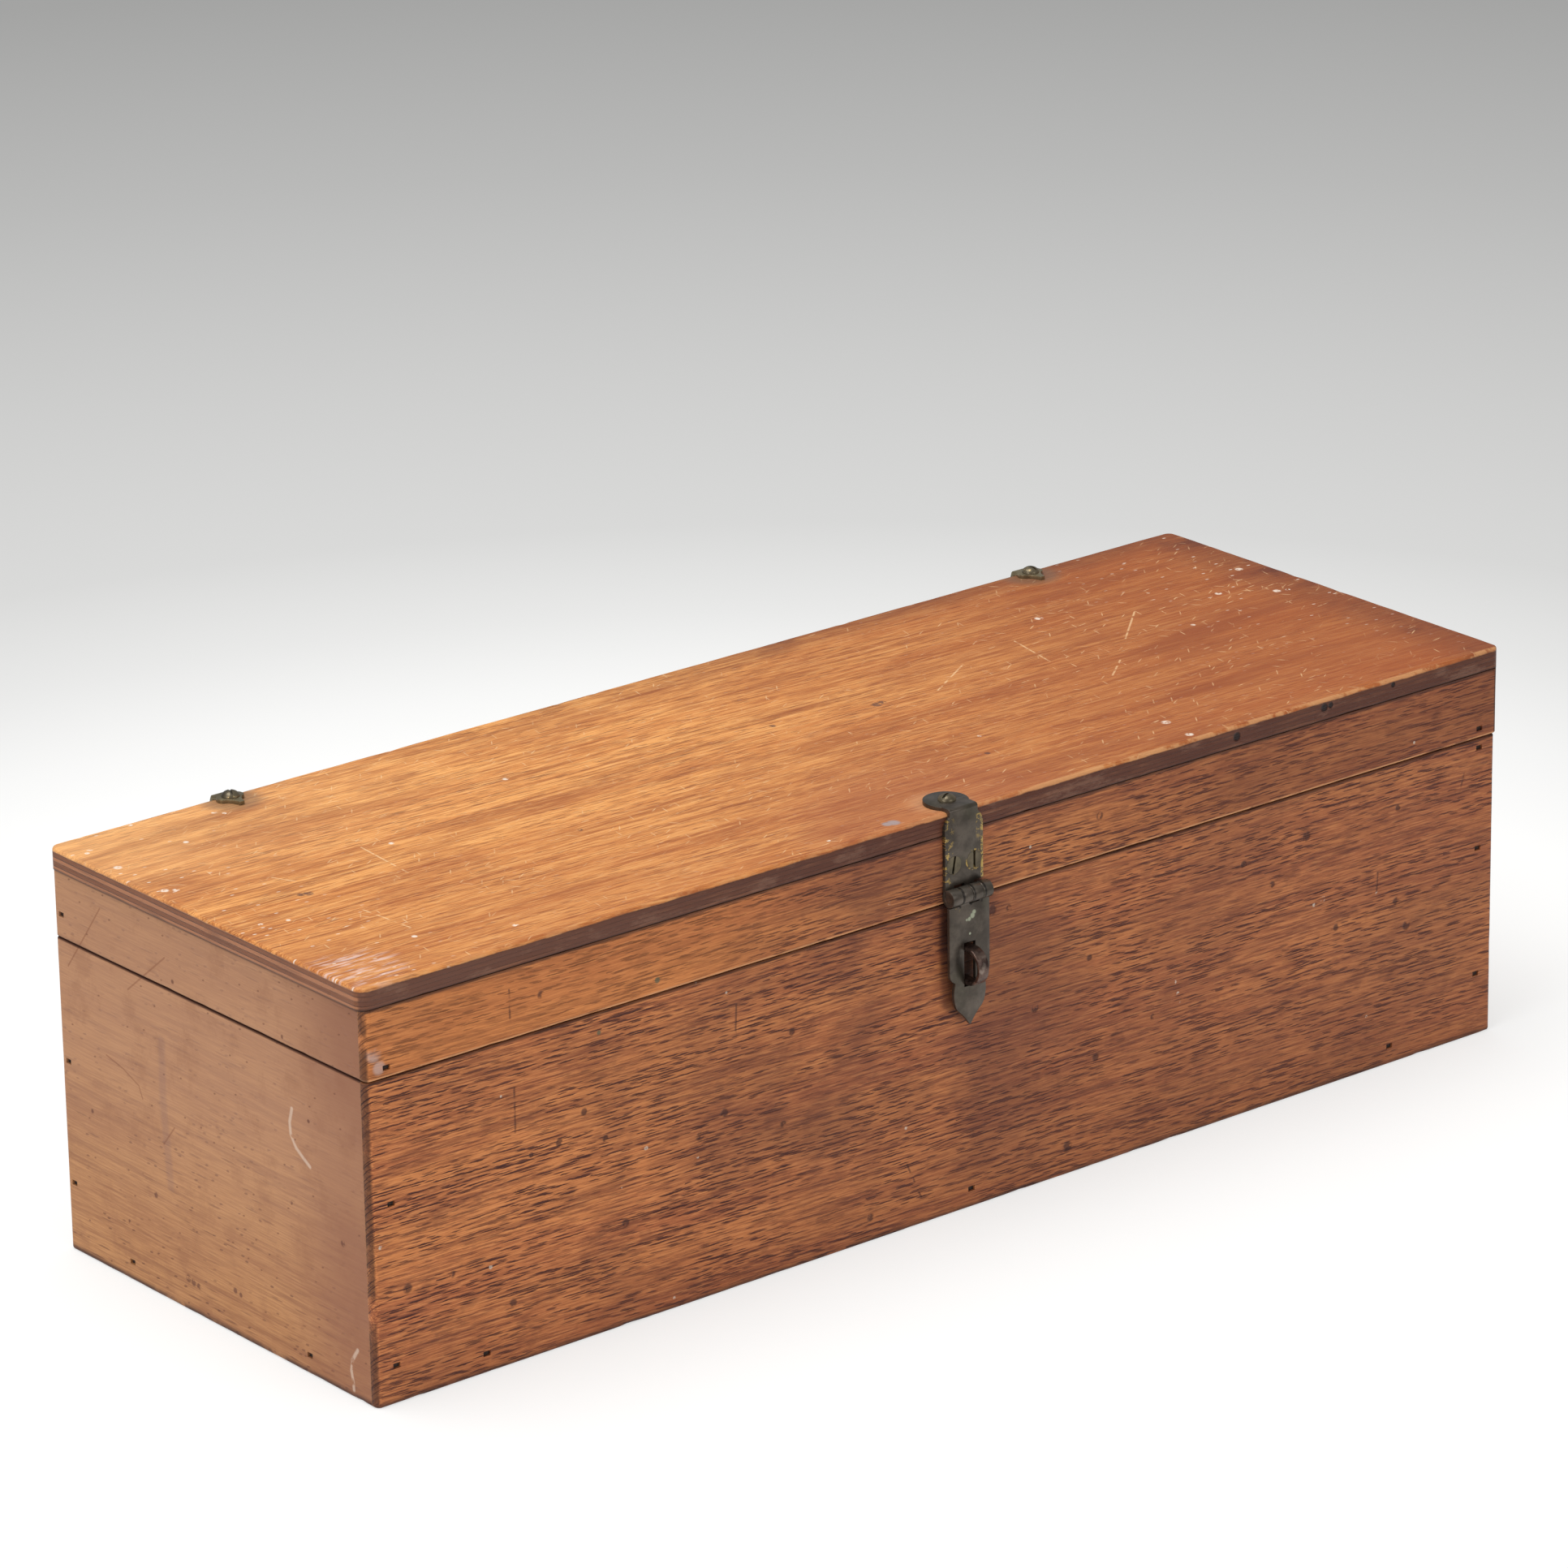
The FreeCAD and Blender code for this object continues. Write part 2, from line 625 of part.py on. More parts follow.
# Screw holes, and the two mortises for the staple's legs
plate_screw_depth = "flat_screw_length - plate_thickness + fit_clearance"
tab_screw_depth = "dome_screw_length - plate_thickness + fit_clearance"
tab_screw_in_rail = f"{tab_screw_depth} - panel_thickness"
hinge_strap_spots = [(x, "strap_screw_rise") for x in hinge_screw_x]
hinge_leaf_spots = [(x, "leaf_screw_height") for x in hinge_screw_x]
hasp_strap_spots = [(x, "strap_screw_rise") for x in hasp_screw_x]
bore(front_rail, "strap_screws", "front", hasp_strap_spots, "screw_hole", plate_screw_depth)
bore(front_rail, "tab_screw", "rail top", [hasp_tab_spot], "screw_hole", tab_screw_in_rail)
bore(back_rail, "strap_screws", "back", hinge_strap_spots, "screw_hole", plate_screw_depth)
bore(back_rail, "tab_screws", "rail top", hinge_tab_spots, "screw_hole", tab_screw_in_rail)
bore(back_board, "leaf_screws", "back", hinge_leaf_spots, "screw_hole", plate_screw_depth)
bore(panel, "tab_screws", "panel top", [hasp_tab_spot, *hinge_tab_spots], "screw_hole", "panel_thickness")

mortises = sketch_on(front_board, "staple_mortises", *faces["front"][:2])
for leg in ("+ staple_half", "- staple_half + staple_thickness"):
    rectangle(
        mortises,
        "hasp_offset - staple_width / 2 - fit_clearance",
        f"staple_height {leg} - staple_thickness - fit_clearance",
        "hasp_offset + staple_width / 2 + fit_clearance",
        f"staple_height {leg} + fit_clearance",
    )
pocket(front_board, mortises, "staple_leg + fit_clearance")

for rail in (front_rail, back_rail, left_rail, right_rail):
    place(rail, z="lid_bottom")
place(panel, z="lid_top")


# Nails in their holes. Their width lies along the grain, which runs along Y in the ends.

end_grain = 90
driven(
    "front_corner_nails",
    nail,
    [("front", front_nail_x[end], front, z) for end in front_corner_z for z in front_corner_z[end]],
)
driven(
    "end_corner_nails",
    nail,
    [(end, body_ends[end], end_nail_y, z, end_grain) for end in end_corner_z for z in end_corner_z[end]],
)
driven(
    "bottom_nails",
    nail,
    [
        *[("front", x, front, bottom_nail_height) for x in long_nail_x],
        *[("back", x, back, bottom_nail_height) for x in long_nail_x],
        *[
            (end, x, y, bottom_nail_height, end_grain)
            for end, x in body_ends.items()
            for y in short_nail_y
        ],
    ],
)
driven(
    "lid_front_nails",
    nail,
    [("front", x, front, f"lid_bottom + {lid_front_z}") for x in front_nail_x.values()],
)
driven(
    "lid_end_nails",
    nail,
    [(end, x, end_nail_y, f"lid_bottom + {lid_end_z}", end_grain) for end, x in lid_ends.items()],
)


# Hinges and hasp. Each plate is drawn with its pin at the origin, the plate upwards and its face to -Y:
# the first and third knuckles are its own, and it is notched for the other plate's.

def knuckle_start(index):
    return f"(-barrel_length / 2 + {index} * (knuckle + knuckle_gap))"


def comb(width):
    """The notched lower edge of a plate, from left to right."""
    notch = "eye_radius + notch_clearance"
    return [
        (f"-({width}) / 2", "0"),
        (f"{knuckle_start(0)} + knuckle", "0"),
        (f"{knuckle_start(0)} + knuckle", notch),
        (knuckle_start(2), notch),
        (knuckle_start(2), "0"),
        (f"{knuckle_start(2)} + knuckle", "0"),
        (f"{knuckle_start(2)} + knuckle", notch),
        (f"({width}) / 2", notch),
    ]


def roll_knuckles(body, roll_end):
    """Two rolled knuckles with the pin's bore. Each roll's end stops short of the plate at roll_end."""
    for index in (0, 2):
        circle = sketch_on(body, f"{body.Name}_knuckle_{index}", "YZ_Plane", knuckle_start(index))
        circles(circle, [("0", "0")], "eye_radius")
        pad(body, circle, "knuckle")
    side = "-barrel_length / 2 - overrun"
    through = "barrel_length + 2 * overrun"
    hole = sketch_on(body, f"{body.Name}_bore", "YZ_Plane", side)
    circles(hole, [("0", "0")], "bore_radius")
    pocket(body, hole, through, along_normal=True)
    seam = sketch_on(body, f"{body.Name}_roll_end", "YZ_Plane", side)
    rectangle(seam, roll_end, "0", f"{roll_end} + roll_gap", "eye_radius")
    pocket(body, seam, through, along_normal=True)


def screw_seats(body, height):
    """Two countersunk holes side by side in a plate that lies on wood."""
    seats = sketch_on(body, f"{body.Name}_seats", "XZ_Plane", "plate_thickness - pin_from_wood")
    circles(seats, [(x, height) for x in strap_screw_x], "screw_hole")
    countersink(body, seats)


def strap(label, rise, tab, screw_height, tab_screw):
    """A strap up the lid's face, bent over its top, rise above the pin, into a shaped tab."""
    body = new_subpart("PartDesign::Body", label)
    upright = sketch_on(body, f"{label}_face", "XZ_Plane", "-pin_from_wood")
    shoulder = f"{rise} - shoulder_drop"
    shoulder_arc = "(shoulder_height^2 + waist_inset^2) / (2 * waist_inset)"
    top = f"{rise} + plate_thickness"
    outline(
        upright,
        [
            *comb("strap_width"),
            ("strap_width / 2", f"{shoulder} - shoulder_height", shoulder_arc),
            ("waist / 2", shoulder),
            ("waist / 2", top),
            ("-waist / 2", top),
            ("-waist / 2", shoulder, shoulder_arc),
            ("-strap_width / 2", f"{shoulder} - shoulder_height"),
        ],
    )
    pad(body, upright, "plate_thickness")
    flat = sketch_on(body, f"{label}_tab", "XY_Plane", rise)
    outline(flat, mirrored([("waist / 2", "pin_from_wood - plate_thickness"), *tab]))
    pad(body, flat, "plate_thickness")
    bend = ("pin_from_wood - plate_thickness", top)
    soften(body, "Fillet", "plate_thickness * 9 / 10", "x", [bend])
    roll_knuckles(body, "pin_from_wood - plate_thickness - roll_gap")
    screw_seats(body, screw_height)
    hole = sketch_on(body, f"{label}_tab_hole", "XY_Plane", top)
    circles(hole, [("0", f"pin_from_wood + {tab_screw}")], "screw_hole")
    pocket(body, hole, "2 * plate_thickness")
    return body


# Half outlines of the tabs: the hasp's is a disc, the hinges' have two ears and run to a blunt point
disc_start = "hasp_tab_length - hasp_tab_radius - sqrt(hasp_tab_radius^2 - (waist / 2)^2)"
hasp_tab = [
    ("waist / 2", f"pin_from_wood + {disc_start}", "hasp_tab_radius"),
    ("0", "pin_from_wood + hasp_tab_length"),
]
ear_start_share = 0.16
ear_end_share = 0.53
ear_radius_share = 0.2
flank_radius_share = 0.65
flank_width_share = 0.4
tip_width_share = 0.11
hinge_tab = [
    (
        "waist / 2",
        f"pin_from_wood + {ear_start_share} * hinge_tab_length",
        f"{ear_radius_share} * hinge_tab_length",
    ),
    (
        f"{flank_width_share} * waist",
        f"pin_from_wood + {ear_end_share} * hinge_tab_length",
        f"{flank_radius_share} * hinge_tab_length",
        "hollow",
    ),
    (f"{tip_width_share} * waist", "pin_from_wood + hinge_tab_length"),
]

hasp_strap = strap(
    "hasp_strap",
    "(case_top - hasp_eye_height)",
    hasp_tab,
    "strap_screw_rise - hasp_eye_rise",
    "hasp_tab_screw",
)
place(hasp_strap, "hasp_offset", "-case_width / 2 - pin_from_wood", "hasp_eye_height")

half_turn = FreeCAD.Rotation(z_axis, 180)
upside_down = FreeCAD.Rotation(y_axis, 180)
hinge_eye_y = "case_width / 2 + pin_from_wood"
for end, x in hinge_x.items():
    upper = strap(
        f"hinge_upper_leaf_{end}",
        "(case_top - hinge_eye_height)",
        hinge_tab,
        "strap_screw_rise + seam_gap / 2",
        "hinge_tab_screw",
    )
    place(upper, x, hinge_eye_y, "hinge_eye_height", half_turn)

    lower = new_subpart("PartDesign::Body", f"hinge_lower_leaf_{end}")
    leaf_face = sketch_on(lower, f"{lower.Name}_face", "XZ_Plane", "-pin_from_wood")
    leaf_end = [("strap_width / 2", "hinge_leaf_length"), ("-strap_width / 2", "hinge_leaf_length")]
    outline(leaf_face, [*comb("strap_width"), *leaf_end])
    pad(lower, leaf_face, "plate_thickness")
    leaf_corners = [(f"{sign}strap_width / 2", "hinge_leaf_length") for sign in ("-", "")]
    soften(lower, "Fillet", "min(hinge_leaf_corner, strap_width / 3)", "y", leaf_corners)
    roll_knuckles(lower, "pin_from_wood - plate_thickness - roll_gap")
    screw_seats(lower, "strap_screw_rise + seam_gap / 2")
    place(lower, x, hinge_eye_y, "hinge_eye_height", half_turn * upside_down)

    driven(
        f"hinge_pin_{end}",
        hinge_pin,
        [("right", f"{x} + barrel_length / 2", hinge_eye_y, "hinge_eye_height")],
    )

driven(
    "hasp_pin",
    hinge_pin,
    [("right", "hasp_offset + barrel_length / 2", "-case_width / 2 - pin_from_wood", "hasp_eye_height")],
)

# The swinging leaf hangs from the middle of its knuckles. Below its shoulders it narrows to a neck and
# widens into a spade, whose corners are shares of the spade's length and the neck's width.
leaf = new_subpart("PartDesign::Body", "hasp_leaf")
neck = "(leaf_width - 2 * neck_inset)"
neck_end = "leaf_shoulder + neck_height"
flank_share = 0.48
turn_share = 0.66
turn_width_share = 0.37
flank_arc_share = 0.78
turn_arc_share = 0.33
point_arc_share = 1.4
tip_share = 0.025
right_side = [
    ("leaf_width / 2", "leaf_shoulder - leaf_corner", "leaf_corner"),
    (f"{neck} / 2", "leaf_shoulder"),
    (f"{neck} / 2", neck_end, f"{flank_arc_share} * spade_length"),
    (f"{neck} / 2", f"{neck_end} + {flank_share} * spade_length", f"{turn_arc_share} * spade_length"),
    (
        f"{turn_width_share} * {neck}",
        f"{neck_end} + {turn_share} * spade_length",
        f"{point_arc_share} * spade_length",
        "hollow",
    ),
    (f"{tip_share} * {neck}", f"{neck_end} + spade_length"),
]
left_side = mirrored(right_side)[len(right_side):]
leaf_front = sketch_on(leaf, "leaf_front", "XZ_Plane", "-plate_thickness / 2")
outline(leaf_front, [*comb("leaf_width"), *right_side, *left_side])
pad(leaf, leaf_front, "plate_thickness")
roll_knuckles(leaf, "plate_thickness / 2")
slot = sketch_on(leaf, "leaf_slot", "XZ_Plane", "plate_thickness / 2")
rectangle(
    slot,
    "-slot_width / 2",
    "slot_middle - slot_length / 2",
    "slot_width / 2",
    "slot_middle + slot_length / 2",
)
pocket(leaf, slot, "plate_thickness")
place(leaf, "hasp_offset", "-case_width / 2 - pin_from_wood", "hasp_eye_height", upside_down)

# The staple, a bent strip. It is drawn from the side: the wood's face is at y = 0.
staple = new_subpart("PartDesign::Body", "staple")
staple_side = sketch_on(staple, "staple_side", "YZ_Plane")
bend_y = "staple_half - staple_reach"
inner = "(staple_half - staple_thickness)"
outline(
    staple_side,
    [
        (bend_y, "-staple_half"),
        ("staple_leg", "-staple_half"),
        ("staple_leg", f"-{inner}"),
        (bend_y, f"-{inner}", inner, "hollow"),
        (f"{bend_y} - {inner}", "0", inner, "hollow"),
        (bend_y, inner),
        ("staple_leg", inner),
        ("staple_leg", "staple_half"),
        (bend_y, "staple_half", "staple_half"),
        ("-staple_reach", "0", "staple_half"),
    ],
)
pad(staple, staple_side, "staple_width", midplane=True)
place(staple, "hasp_offset", front, "staple_height")

# Screws. Flat heads are flush with their plates, raised ones stand on the tabs.
strap_face = "-case_width / 2 - plate_thickness"
hinge_face = "case_width / 2 + plate_thickness"
tab_face = "case_top + plate_thickness"
hasp_twists = (-11, 0)
driven(
    "hasp_strap_screws",
    flat_screw,
    [
        ("front", x, strap_face, "strap_screw_height", twist)
        for x, twist in zip(hasp_screw_x, hasp_twists)
    ],
)
upper_twists = (35, -20, 5, 70)
driven(
    "hinge_upper_screws",
    flat_screw,
    [
        ("back", x, hinge_face, "strap_screw_height", twist)
        for x, twist in zip(hinge_screw_x, upper_twists)
    ],
)
lower_twists = (-50, 15, -10, 40)
driven(
    "hinge_lower_screws",
    flat_screw,
    [
        ("back", x, hinge_face, "leaf_screw_height", twist)
        for x, twist in zip(hinge_screw_x, lower_twists)
    ],
)
driven("hasp_tab_screw", dome_screw, [("top", *hasp_tab_spot, tab_face, -70)])
tab_twists = (-26, 15)
driven(
    "hinge_tab_screws",
    dome_screw,
    [("top", *spot, tab_face, twist) for spot, twist in zip(hinge_tab_spots, tab_twists)],
)


# Inside: two saddles that carry the instrument lying down, and two blocks in the lid that hold it there

inner_span = "case_width - front_thickness - back_thickness"
middle_y = "(front_thickness - back_thickness) / 2"


def seat_radius_for(width, depth):
    return f"min(seat_radius, {width} / 3, {depth} / 2)"


def seat_path(width, depth, away):
    """The right half of a seat's section, from its floor to past its top, away from the wood."""
    radius = seat_radius_for(width, depth)
    floor = f"saddle_height - {depth}"
    return [
        (f"{width} / 2 - {radius}", f"{floor} + {away}", f"{radius} - {away}"),
        (f"{width} / 2 - {away}", f"{floor} + {radius}"),
        (f"{width} / 2 - {away}", f"saddle_height + {away}"),
        (f"{width} / 2 + lining_overlap", f"saddle_height + {away}"),
    ]


def turned_back(path):
    """The same path walked the other way: its arcs belong to the corner before and turn hollow."""
    corners = []
    for step in range(len(path) - 1, -1, -1):
        x, y = path[step][:2]
        arc = (*path[step - 1][2:], "hollow") if step and len(path[step - 1]) > 2 else ()
        corners.append((x, y, *arc))
    return corners


block_outline = ("-block_length / 2", "-block_width / 2", "block_length / 2", "block_width / 2")
block_corners = [(x, y) for x in block_outline[::2] for y in block_outline[1::2]]
block_rounding = "min(block_corner, block_length / 3, block_width / 3)"

for name, x, width, depth in (
    ("left", "limb_saddle_place", "limb_seat_width", "limb_seat_depth"),
    ("right", "tube_saddle_place", "tube_seat_width", "tube_seat_depth"),
):
    saddle = new_subpart("PartDesign::Body", f"saddle_{name}")
    section = sketch_on(saddle, f"{saddle.Name}_section", "YZ_Plane")
    outline(
        section,
        [
            (f"-({inner_span}) / 2", "0"),
            (f"({inner_span}) / 2", "0"),
            (f"({inner_span}) / 2", "saddle_height"),
            (f"{width} / 2", "saddle_height"),
            (f"{width} / 2", f"saddle_height - {depth}"),
            (f"-{width} / 2", f"saddle_height - {depth}"),
            (f"-{width} / 2", "saddle_height"),
            (f"-({inner_span}) / 2", "saddle_height"),
        ],
    )
    pad(saddle, section, "saddle_thickness", midplane=True)
    seat_corners = [(f"{sign}{width} / 2", f"saddle_height - {depth}") for sign in ("-", "")]
    soften(saddle, "Fillet", seat_radius_for(width, depth), "x", seat_corners)
    place(saddle, x, middle_y, "bottom_thickness")

    lining = new_subpart("PartDesign::Body", f"saddle_lining_{name}")
    strip = sketch_on(lining, f"{lining.Name}_section", "YZ_Plane")
    under = seat_path(width, depth, "lining_gap")
    over = seat_path(width, depth, "(lining_gap + lining_thickness)")
    outline(strip, mirrored([*under, *turned_back(over)]))
    pad(lining, strip, "saddle_thickness", midplane=True)
    place(lining, x, middle_y, "bottom_thickness")

    block = new_subpart("PartDesign::Body", f"lid_block_{name}")
    block_plan = sketch_on(block, f"{block.Name}_plan", "XY_Plane", "-block_height")
    rectangle(block_plan, *block_outline)
    pad(block, block_plan, "block_height")
    soften(block, "Fillet", block_rounding, "z", block_corners)
    place(block, x, middle_y, "lid_top")

    cushion = new_subpart("PartDesign::Body", f"lid_pad_{name}")
    cushion_plan = sketch_on(cushion, f"{cushion.Name}_plan", "XY_Plane", "-lining_thickness")
    rectangle(cushion_plan, *block_outline)
    pad(cushion, cushion_plan, "lining_thickness")
    soften(cushion, "Fillet", block_rounding, "z", block_corners)
    place(cushion, x, middle_y, "lid_top - block_height - lining_gap")


# Checks and files

doc.recompute()
for item in doc.Objects:
    if "Invalid" in item.State or "Error" in item.State:
        raise RuntimeError(f"{item.Label} failed: {item.State}")
for item in subparts:
    if item.Shape.isNull() or not item.Shape.isValid():
        raise RuntimeError(f"{item.Label} has no valid shape")
for item in subparts:
    item.Shape.exportStep(f"parts/{item.Label}.step")
    print(f"{item.Label}: {len(item.Shape.Solids)} solid(s), {item.Shape.Volume:.1f} mm3")
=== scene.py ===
import json
import math

import bmesh
import bpy
from mathutils import Matrix, Vector, noise


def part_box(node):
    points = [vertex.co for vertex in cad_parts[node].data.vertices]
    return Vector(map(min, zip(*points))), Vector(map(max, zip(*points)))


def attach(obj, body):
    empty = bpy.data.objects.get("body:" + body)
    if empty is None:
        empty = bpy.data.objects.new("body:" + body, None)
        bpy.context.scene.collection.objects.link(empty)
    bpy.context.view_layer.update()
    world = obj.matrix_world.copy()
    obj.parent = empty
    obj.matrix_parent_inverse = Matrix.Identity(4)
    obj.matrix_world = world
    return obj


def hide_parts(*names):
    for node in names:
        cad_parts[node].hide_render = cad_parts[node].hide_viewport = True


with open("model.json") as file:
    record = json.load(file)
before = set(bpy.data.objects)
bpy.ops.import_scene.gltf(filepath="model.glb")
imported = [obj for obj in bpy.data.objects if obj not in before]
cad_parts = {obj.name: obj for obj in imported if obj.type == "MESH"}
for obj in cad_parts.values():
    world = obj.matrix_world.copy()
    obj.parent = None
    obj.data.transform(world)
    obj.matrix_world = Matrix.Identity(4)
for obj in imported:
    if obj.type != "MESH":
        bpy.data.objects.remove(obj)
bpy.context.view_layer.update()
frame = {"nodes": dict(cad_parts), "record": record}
mm = 0.001
print("frame loaded,", len(frame["nodes"]), "sub-parts")

# Places on the case that the finishes and pieces below share, read from the frame
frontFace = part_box("body_front_board")[0].y
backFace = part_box("body_back_board")[1].y
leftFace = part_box("body_left_end")[0].x
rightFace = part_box("body_right_end")[1].x
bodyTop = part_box("body_front_board")[1].z
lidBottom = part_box("lid_front_rail")[0].z
panelLow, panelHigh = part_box("lid_panel")
panelBottom = panelLow.z
panelTop = panelHigh.z
strapLow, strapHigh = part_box("hasp_strap")
bodyOf = {node: body for body, nodes in frame["record"]["behaviour"]["bodies"].items() for node in nodes}
slotOf = {entry["node"]: entry["material_slot"] for entry in frame["record"]["subparts"]}


# Node trees: a Wire is a socket that takes arithmetic, and a Tree adds every other node


class Wire:
    def __init__(self, tree, socket):
        self.tree = tree
        self.socket = socket

    def math(self, operation, *others):
        return self.tree.node("ShaderNodeMath", {"operation": operation}, (self, *others))

    def other(self, output):  # another output of the same node
        return Wire(self.tree, self.socket.node.outputs[output])

    def __add__(self, value):
        return self.math("ADD", value)

    def __sub__(self, value):
        return self.math("SUBTRACT", value)

    def __rsub__(self, value):
        return self.tree.node("ShaderNodeMath", {"operation": "SUBTRACT"}, (value, self))

    def __mul__(self, value):
        return self.math("MULTIPLY", value)

    def __truediv__(self, value):
        return self.math("DIVIDE", value)

    def __or__(self, value):  # the stronger of two masks
        return self.math("MAXIMUM", value)

    __radd__ = __add__


class Tree:
    def __init__(self, nodeTree):
        self.nodeTree = nodeTree
        self.nodeTree.nodes.clear()

    def node(self, kind, settings=None, inputs=(), output=0):
        made = self.nodeTree.nodes.new(kind)
        for setting, value in (settings or {}).items():
            if setting == "stops":
                self.setStops(made.color_ramp, value)
            else:
                setattr(made, setting, value)
        for key, value in inputs.items() if isinstance(inputs, dict) else enumerate(inputs):
            for entry in value if isinstance(value, list) else [value]:
                if isinstance(entry, Wire):
                    self.nodeTree.links.new(entry.socket, made.inputs[key])
                else:
                    made.inputs[key].default_value = entry
        return Wire(self, made.outputs[output]) if made.outputs else made

    def setStops(self, ramp, stops):
        while len(ramp.elements) < len(stops):
            ramp.elements.new(1)
        for element, (position, shade) in zip(ramp.elements, stops):
            element.position = position
            element.color = shade


def paint(red, green, blue):  # a colour as a paint chart gives it, 0 to 255
    def linear(value):
        value /= 255
        return value / 12.92 if value <= 0.04045 else ((value + 0.055) / 1.055) ** 2.4

    return (linear(red), linear(green), linear(blue), 1)


shear = {"streaks": 0.57, "flecks": 0.37}  # how far the noise's cells lean over from row to row


def strongest(masks):
    found, *others = masks
    for mask in others:
        found = found | mask
    return found


class Finish(Tree):
    def __init__(self, name, stains=None):
        self.stains = stains
        self.material = bpy.data.materials.new(name)
        self.material.use_nodes = True
        super().__init__(self.material.node_tree)
        self.place = self.node("ShaderNodeTexCoord", output="Object")
        self.x, self.y, self.z = self.split(self.place)

    def split(self, vector):
        first = self.node("ShaderNodeSeparateXYZ", None, (vector,))
        return first, first.other(1), first.other(2)

    def join(self, x, y, z=0):
        return self.node("ShaderNodeCombineXYZ", None, (x, y, z))

    def fade(self, value, start, end):  # 0 at start, 1 at end
        inputs = {"Value": value, "From Min": start, "From Max": end}
        return self.node("ShaderNodeMapRange", {"interpolation_type": "SMOOTHSTEP"}, inputs)

    def mix(self, amount, *shades):  # each a wire or a colour's red, green and blue
        first, second = (paint(*shade) if isinstance(shade, tuple) else shade for shade in shades)
        inputs = {0: amount, 6: first, 7: second}
        return self.node("ShaderNodeMix", {"data_type": "RGBA"}, inputs, output=2)

    def stain(self, tone, name, mask=1):  # one of the finish's own stains, where the mask says
        strength, shade = self.stains[name]
        return self.mix(mask * strength, tone, shade)

    def clouds(self, place, scale=1, detail=3, roughness=0.5):
        inputs = {"Vector": place, "Scale": scale, "Detail": detail, "Roughness": roughness}
        return self.node("ShaderNodeTexNoise", None, inputs)

    def patches(self, start, end, scale, *noise):  # clouds, cut off at start and end
        return self.fade(self.clouds(self.place, scale, *noise), start, end)

    def streaks(self, u, v, depth, along, across, detail, roughness):
        # the shear keeps the noise's cells from lining up in columns, and leaves the streaks' direction
        sheared = u * along + v * (across * shear["streaks"])
        return self.clouds(self.join(sheared, v * across, depth * across), 1, detail, roughness)

    def flecks(self, across, up, share, reach=0.35):  # of the cells on a face, a share gets a fleck
        inputs = {"Vector": self.join(across + up * shear["flecks"], up), "Scale": 1}
        distance = self.node("ShaderNodeTexVoronoi", {"voronoi_dimensions": "2D"}, inputs)
        chance = self.split(distance.other("Color"))[0]
        return self.fade(distance, reach, reach * 0.5) * self.fade(chance, share, share * 0.9)

    def vector(self, operation, *inputs, output=0):
        return self.node("ShaderNodeVectorMath", {"operation": operation}, inputs, output)

    def blots(self, flat, spots):  # round marks on a face: (x, y, radius) in millimetres
        found = []
        for x, y, radius in spots:
            distance = self.vector("DISTANCE", flat, (x * mm, y * mm, 0), output="Value")
            found.append(self.fade(distance, radius * mm, radius * mm / 2))
        return strongest(found)

    def strokes(self, flat, lines, width):  # lines on a face, as chains of (x, y) in millimetres
        found = []
        for line in lines:
            points = [Vector((x * mm, y * mm, 0)) for x, y in line]
            for start, end in zip(points, points[1:]):
                run = end - start
                away = self.vector("SUBTRACT", flat, start)
                share = self.vector("DOT_PRODUCT", away, run / run.length_squared, output="Value")
                share = self.node("ShaderNodeClamp", None, (share,))
                inputs = {0: run, "Scale": share}
                nearest = self.node("ShaderNodeVectorMath", {"operation": "SCALE"}, inputs)
                gap = self.vector("DISTANCE", away, nearest, output="Value")
                found.append(self.fade(gap, width * mm, width * mm * 0.3))
        return strongest(found)

    def surface(self, colour, roughness, height, depth, metallic=0, constants=None):
        bump = self.node("ShaderNodeBump", None, {"Distance": depth, "Height": height})
        inputs = {"Base Color": colour, "Roughness": roughness, "Metallic": metallic, "Normal": bump}
        shader = self.node("ShaderNodeBsdfPrincipled", None, {**inputs, **(constants or {})})
        self.node("ShaderNodeOutputMaterial", None, {"Surface": shader})
        return self.material


# Woods. The grain runs along one axis, a little tilted, and the pores are short dark dashes along it.


grainNoise = {
    # cells to the metre along the grain and across it, then detail and roughness
    "figure": (6, 60, 4, 0.6),
    "bands": (16, 330, 3, 0.6),
    "fibre": (80, 1500, 4, 0.75),
}


def woodColour(finish, looks):
    x, y, z = finish.x, finish.y, finish.z
    along, across, depth = {"x": (x, z, y), "y": (y, z, x), "top": (x, y, z)}[looks["grain"]]
    tilt = math.radians(looks["tilt"])
    wander = finish.clouds(finish.join(along * 8, across * 12, depth * 12), 1, 2) - 0.5
    u = along * math.cos(tilt) + across * math.sin(tilt)
    v = across * math.cos(tilt) - along * math.sin(tilt) + wander * looks["wander"]
    figure, bands, fibre = (finish.streaks(u, v, depth, *noise) for noise in grainNoise.values())
    crowd = finish.fade(finish.clouds(finish.join(u * 26, v * 90, depth * 90), 1, 3), 0.36, 0.56)
    tone = finish.mix(finish.fade(figure, 0.36, 0.62), looks["dark"], looks["light"])
    tone = finish.mix(finish.fade(bands, 0.5, 0.64) * looks["banding"], tone, looks["deep"])
    tone = finish.mix(finish.fade(fibre, 0.48, 0.6) * looks["streak"], tone, looks["deep"])
    tone = finish.mix(finish.fade(fibre, 0.48, 0.38) * looks["gleam"], tone, looks["bright"])
    height = bands * 0.3 - fibre * 0.5
    ragged = v + depth + (finish.clouds(finish.join(u * 500, v * 900), 1, 2) - 0.5) * (0.5 * mm)
    for length, width, share, strength in looks["pores"]:
        pores = finish.flecks(u / (length * mm), ragged / (width * mm), share) * (crowd * 0.6 + 0.4)
        tone = finish.mix(pores * strength, tone, looks["pore"])
        height = height - pores * strength
    return tone, height


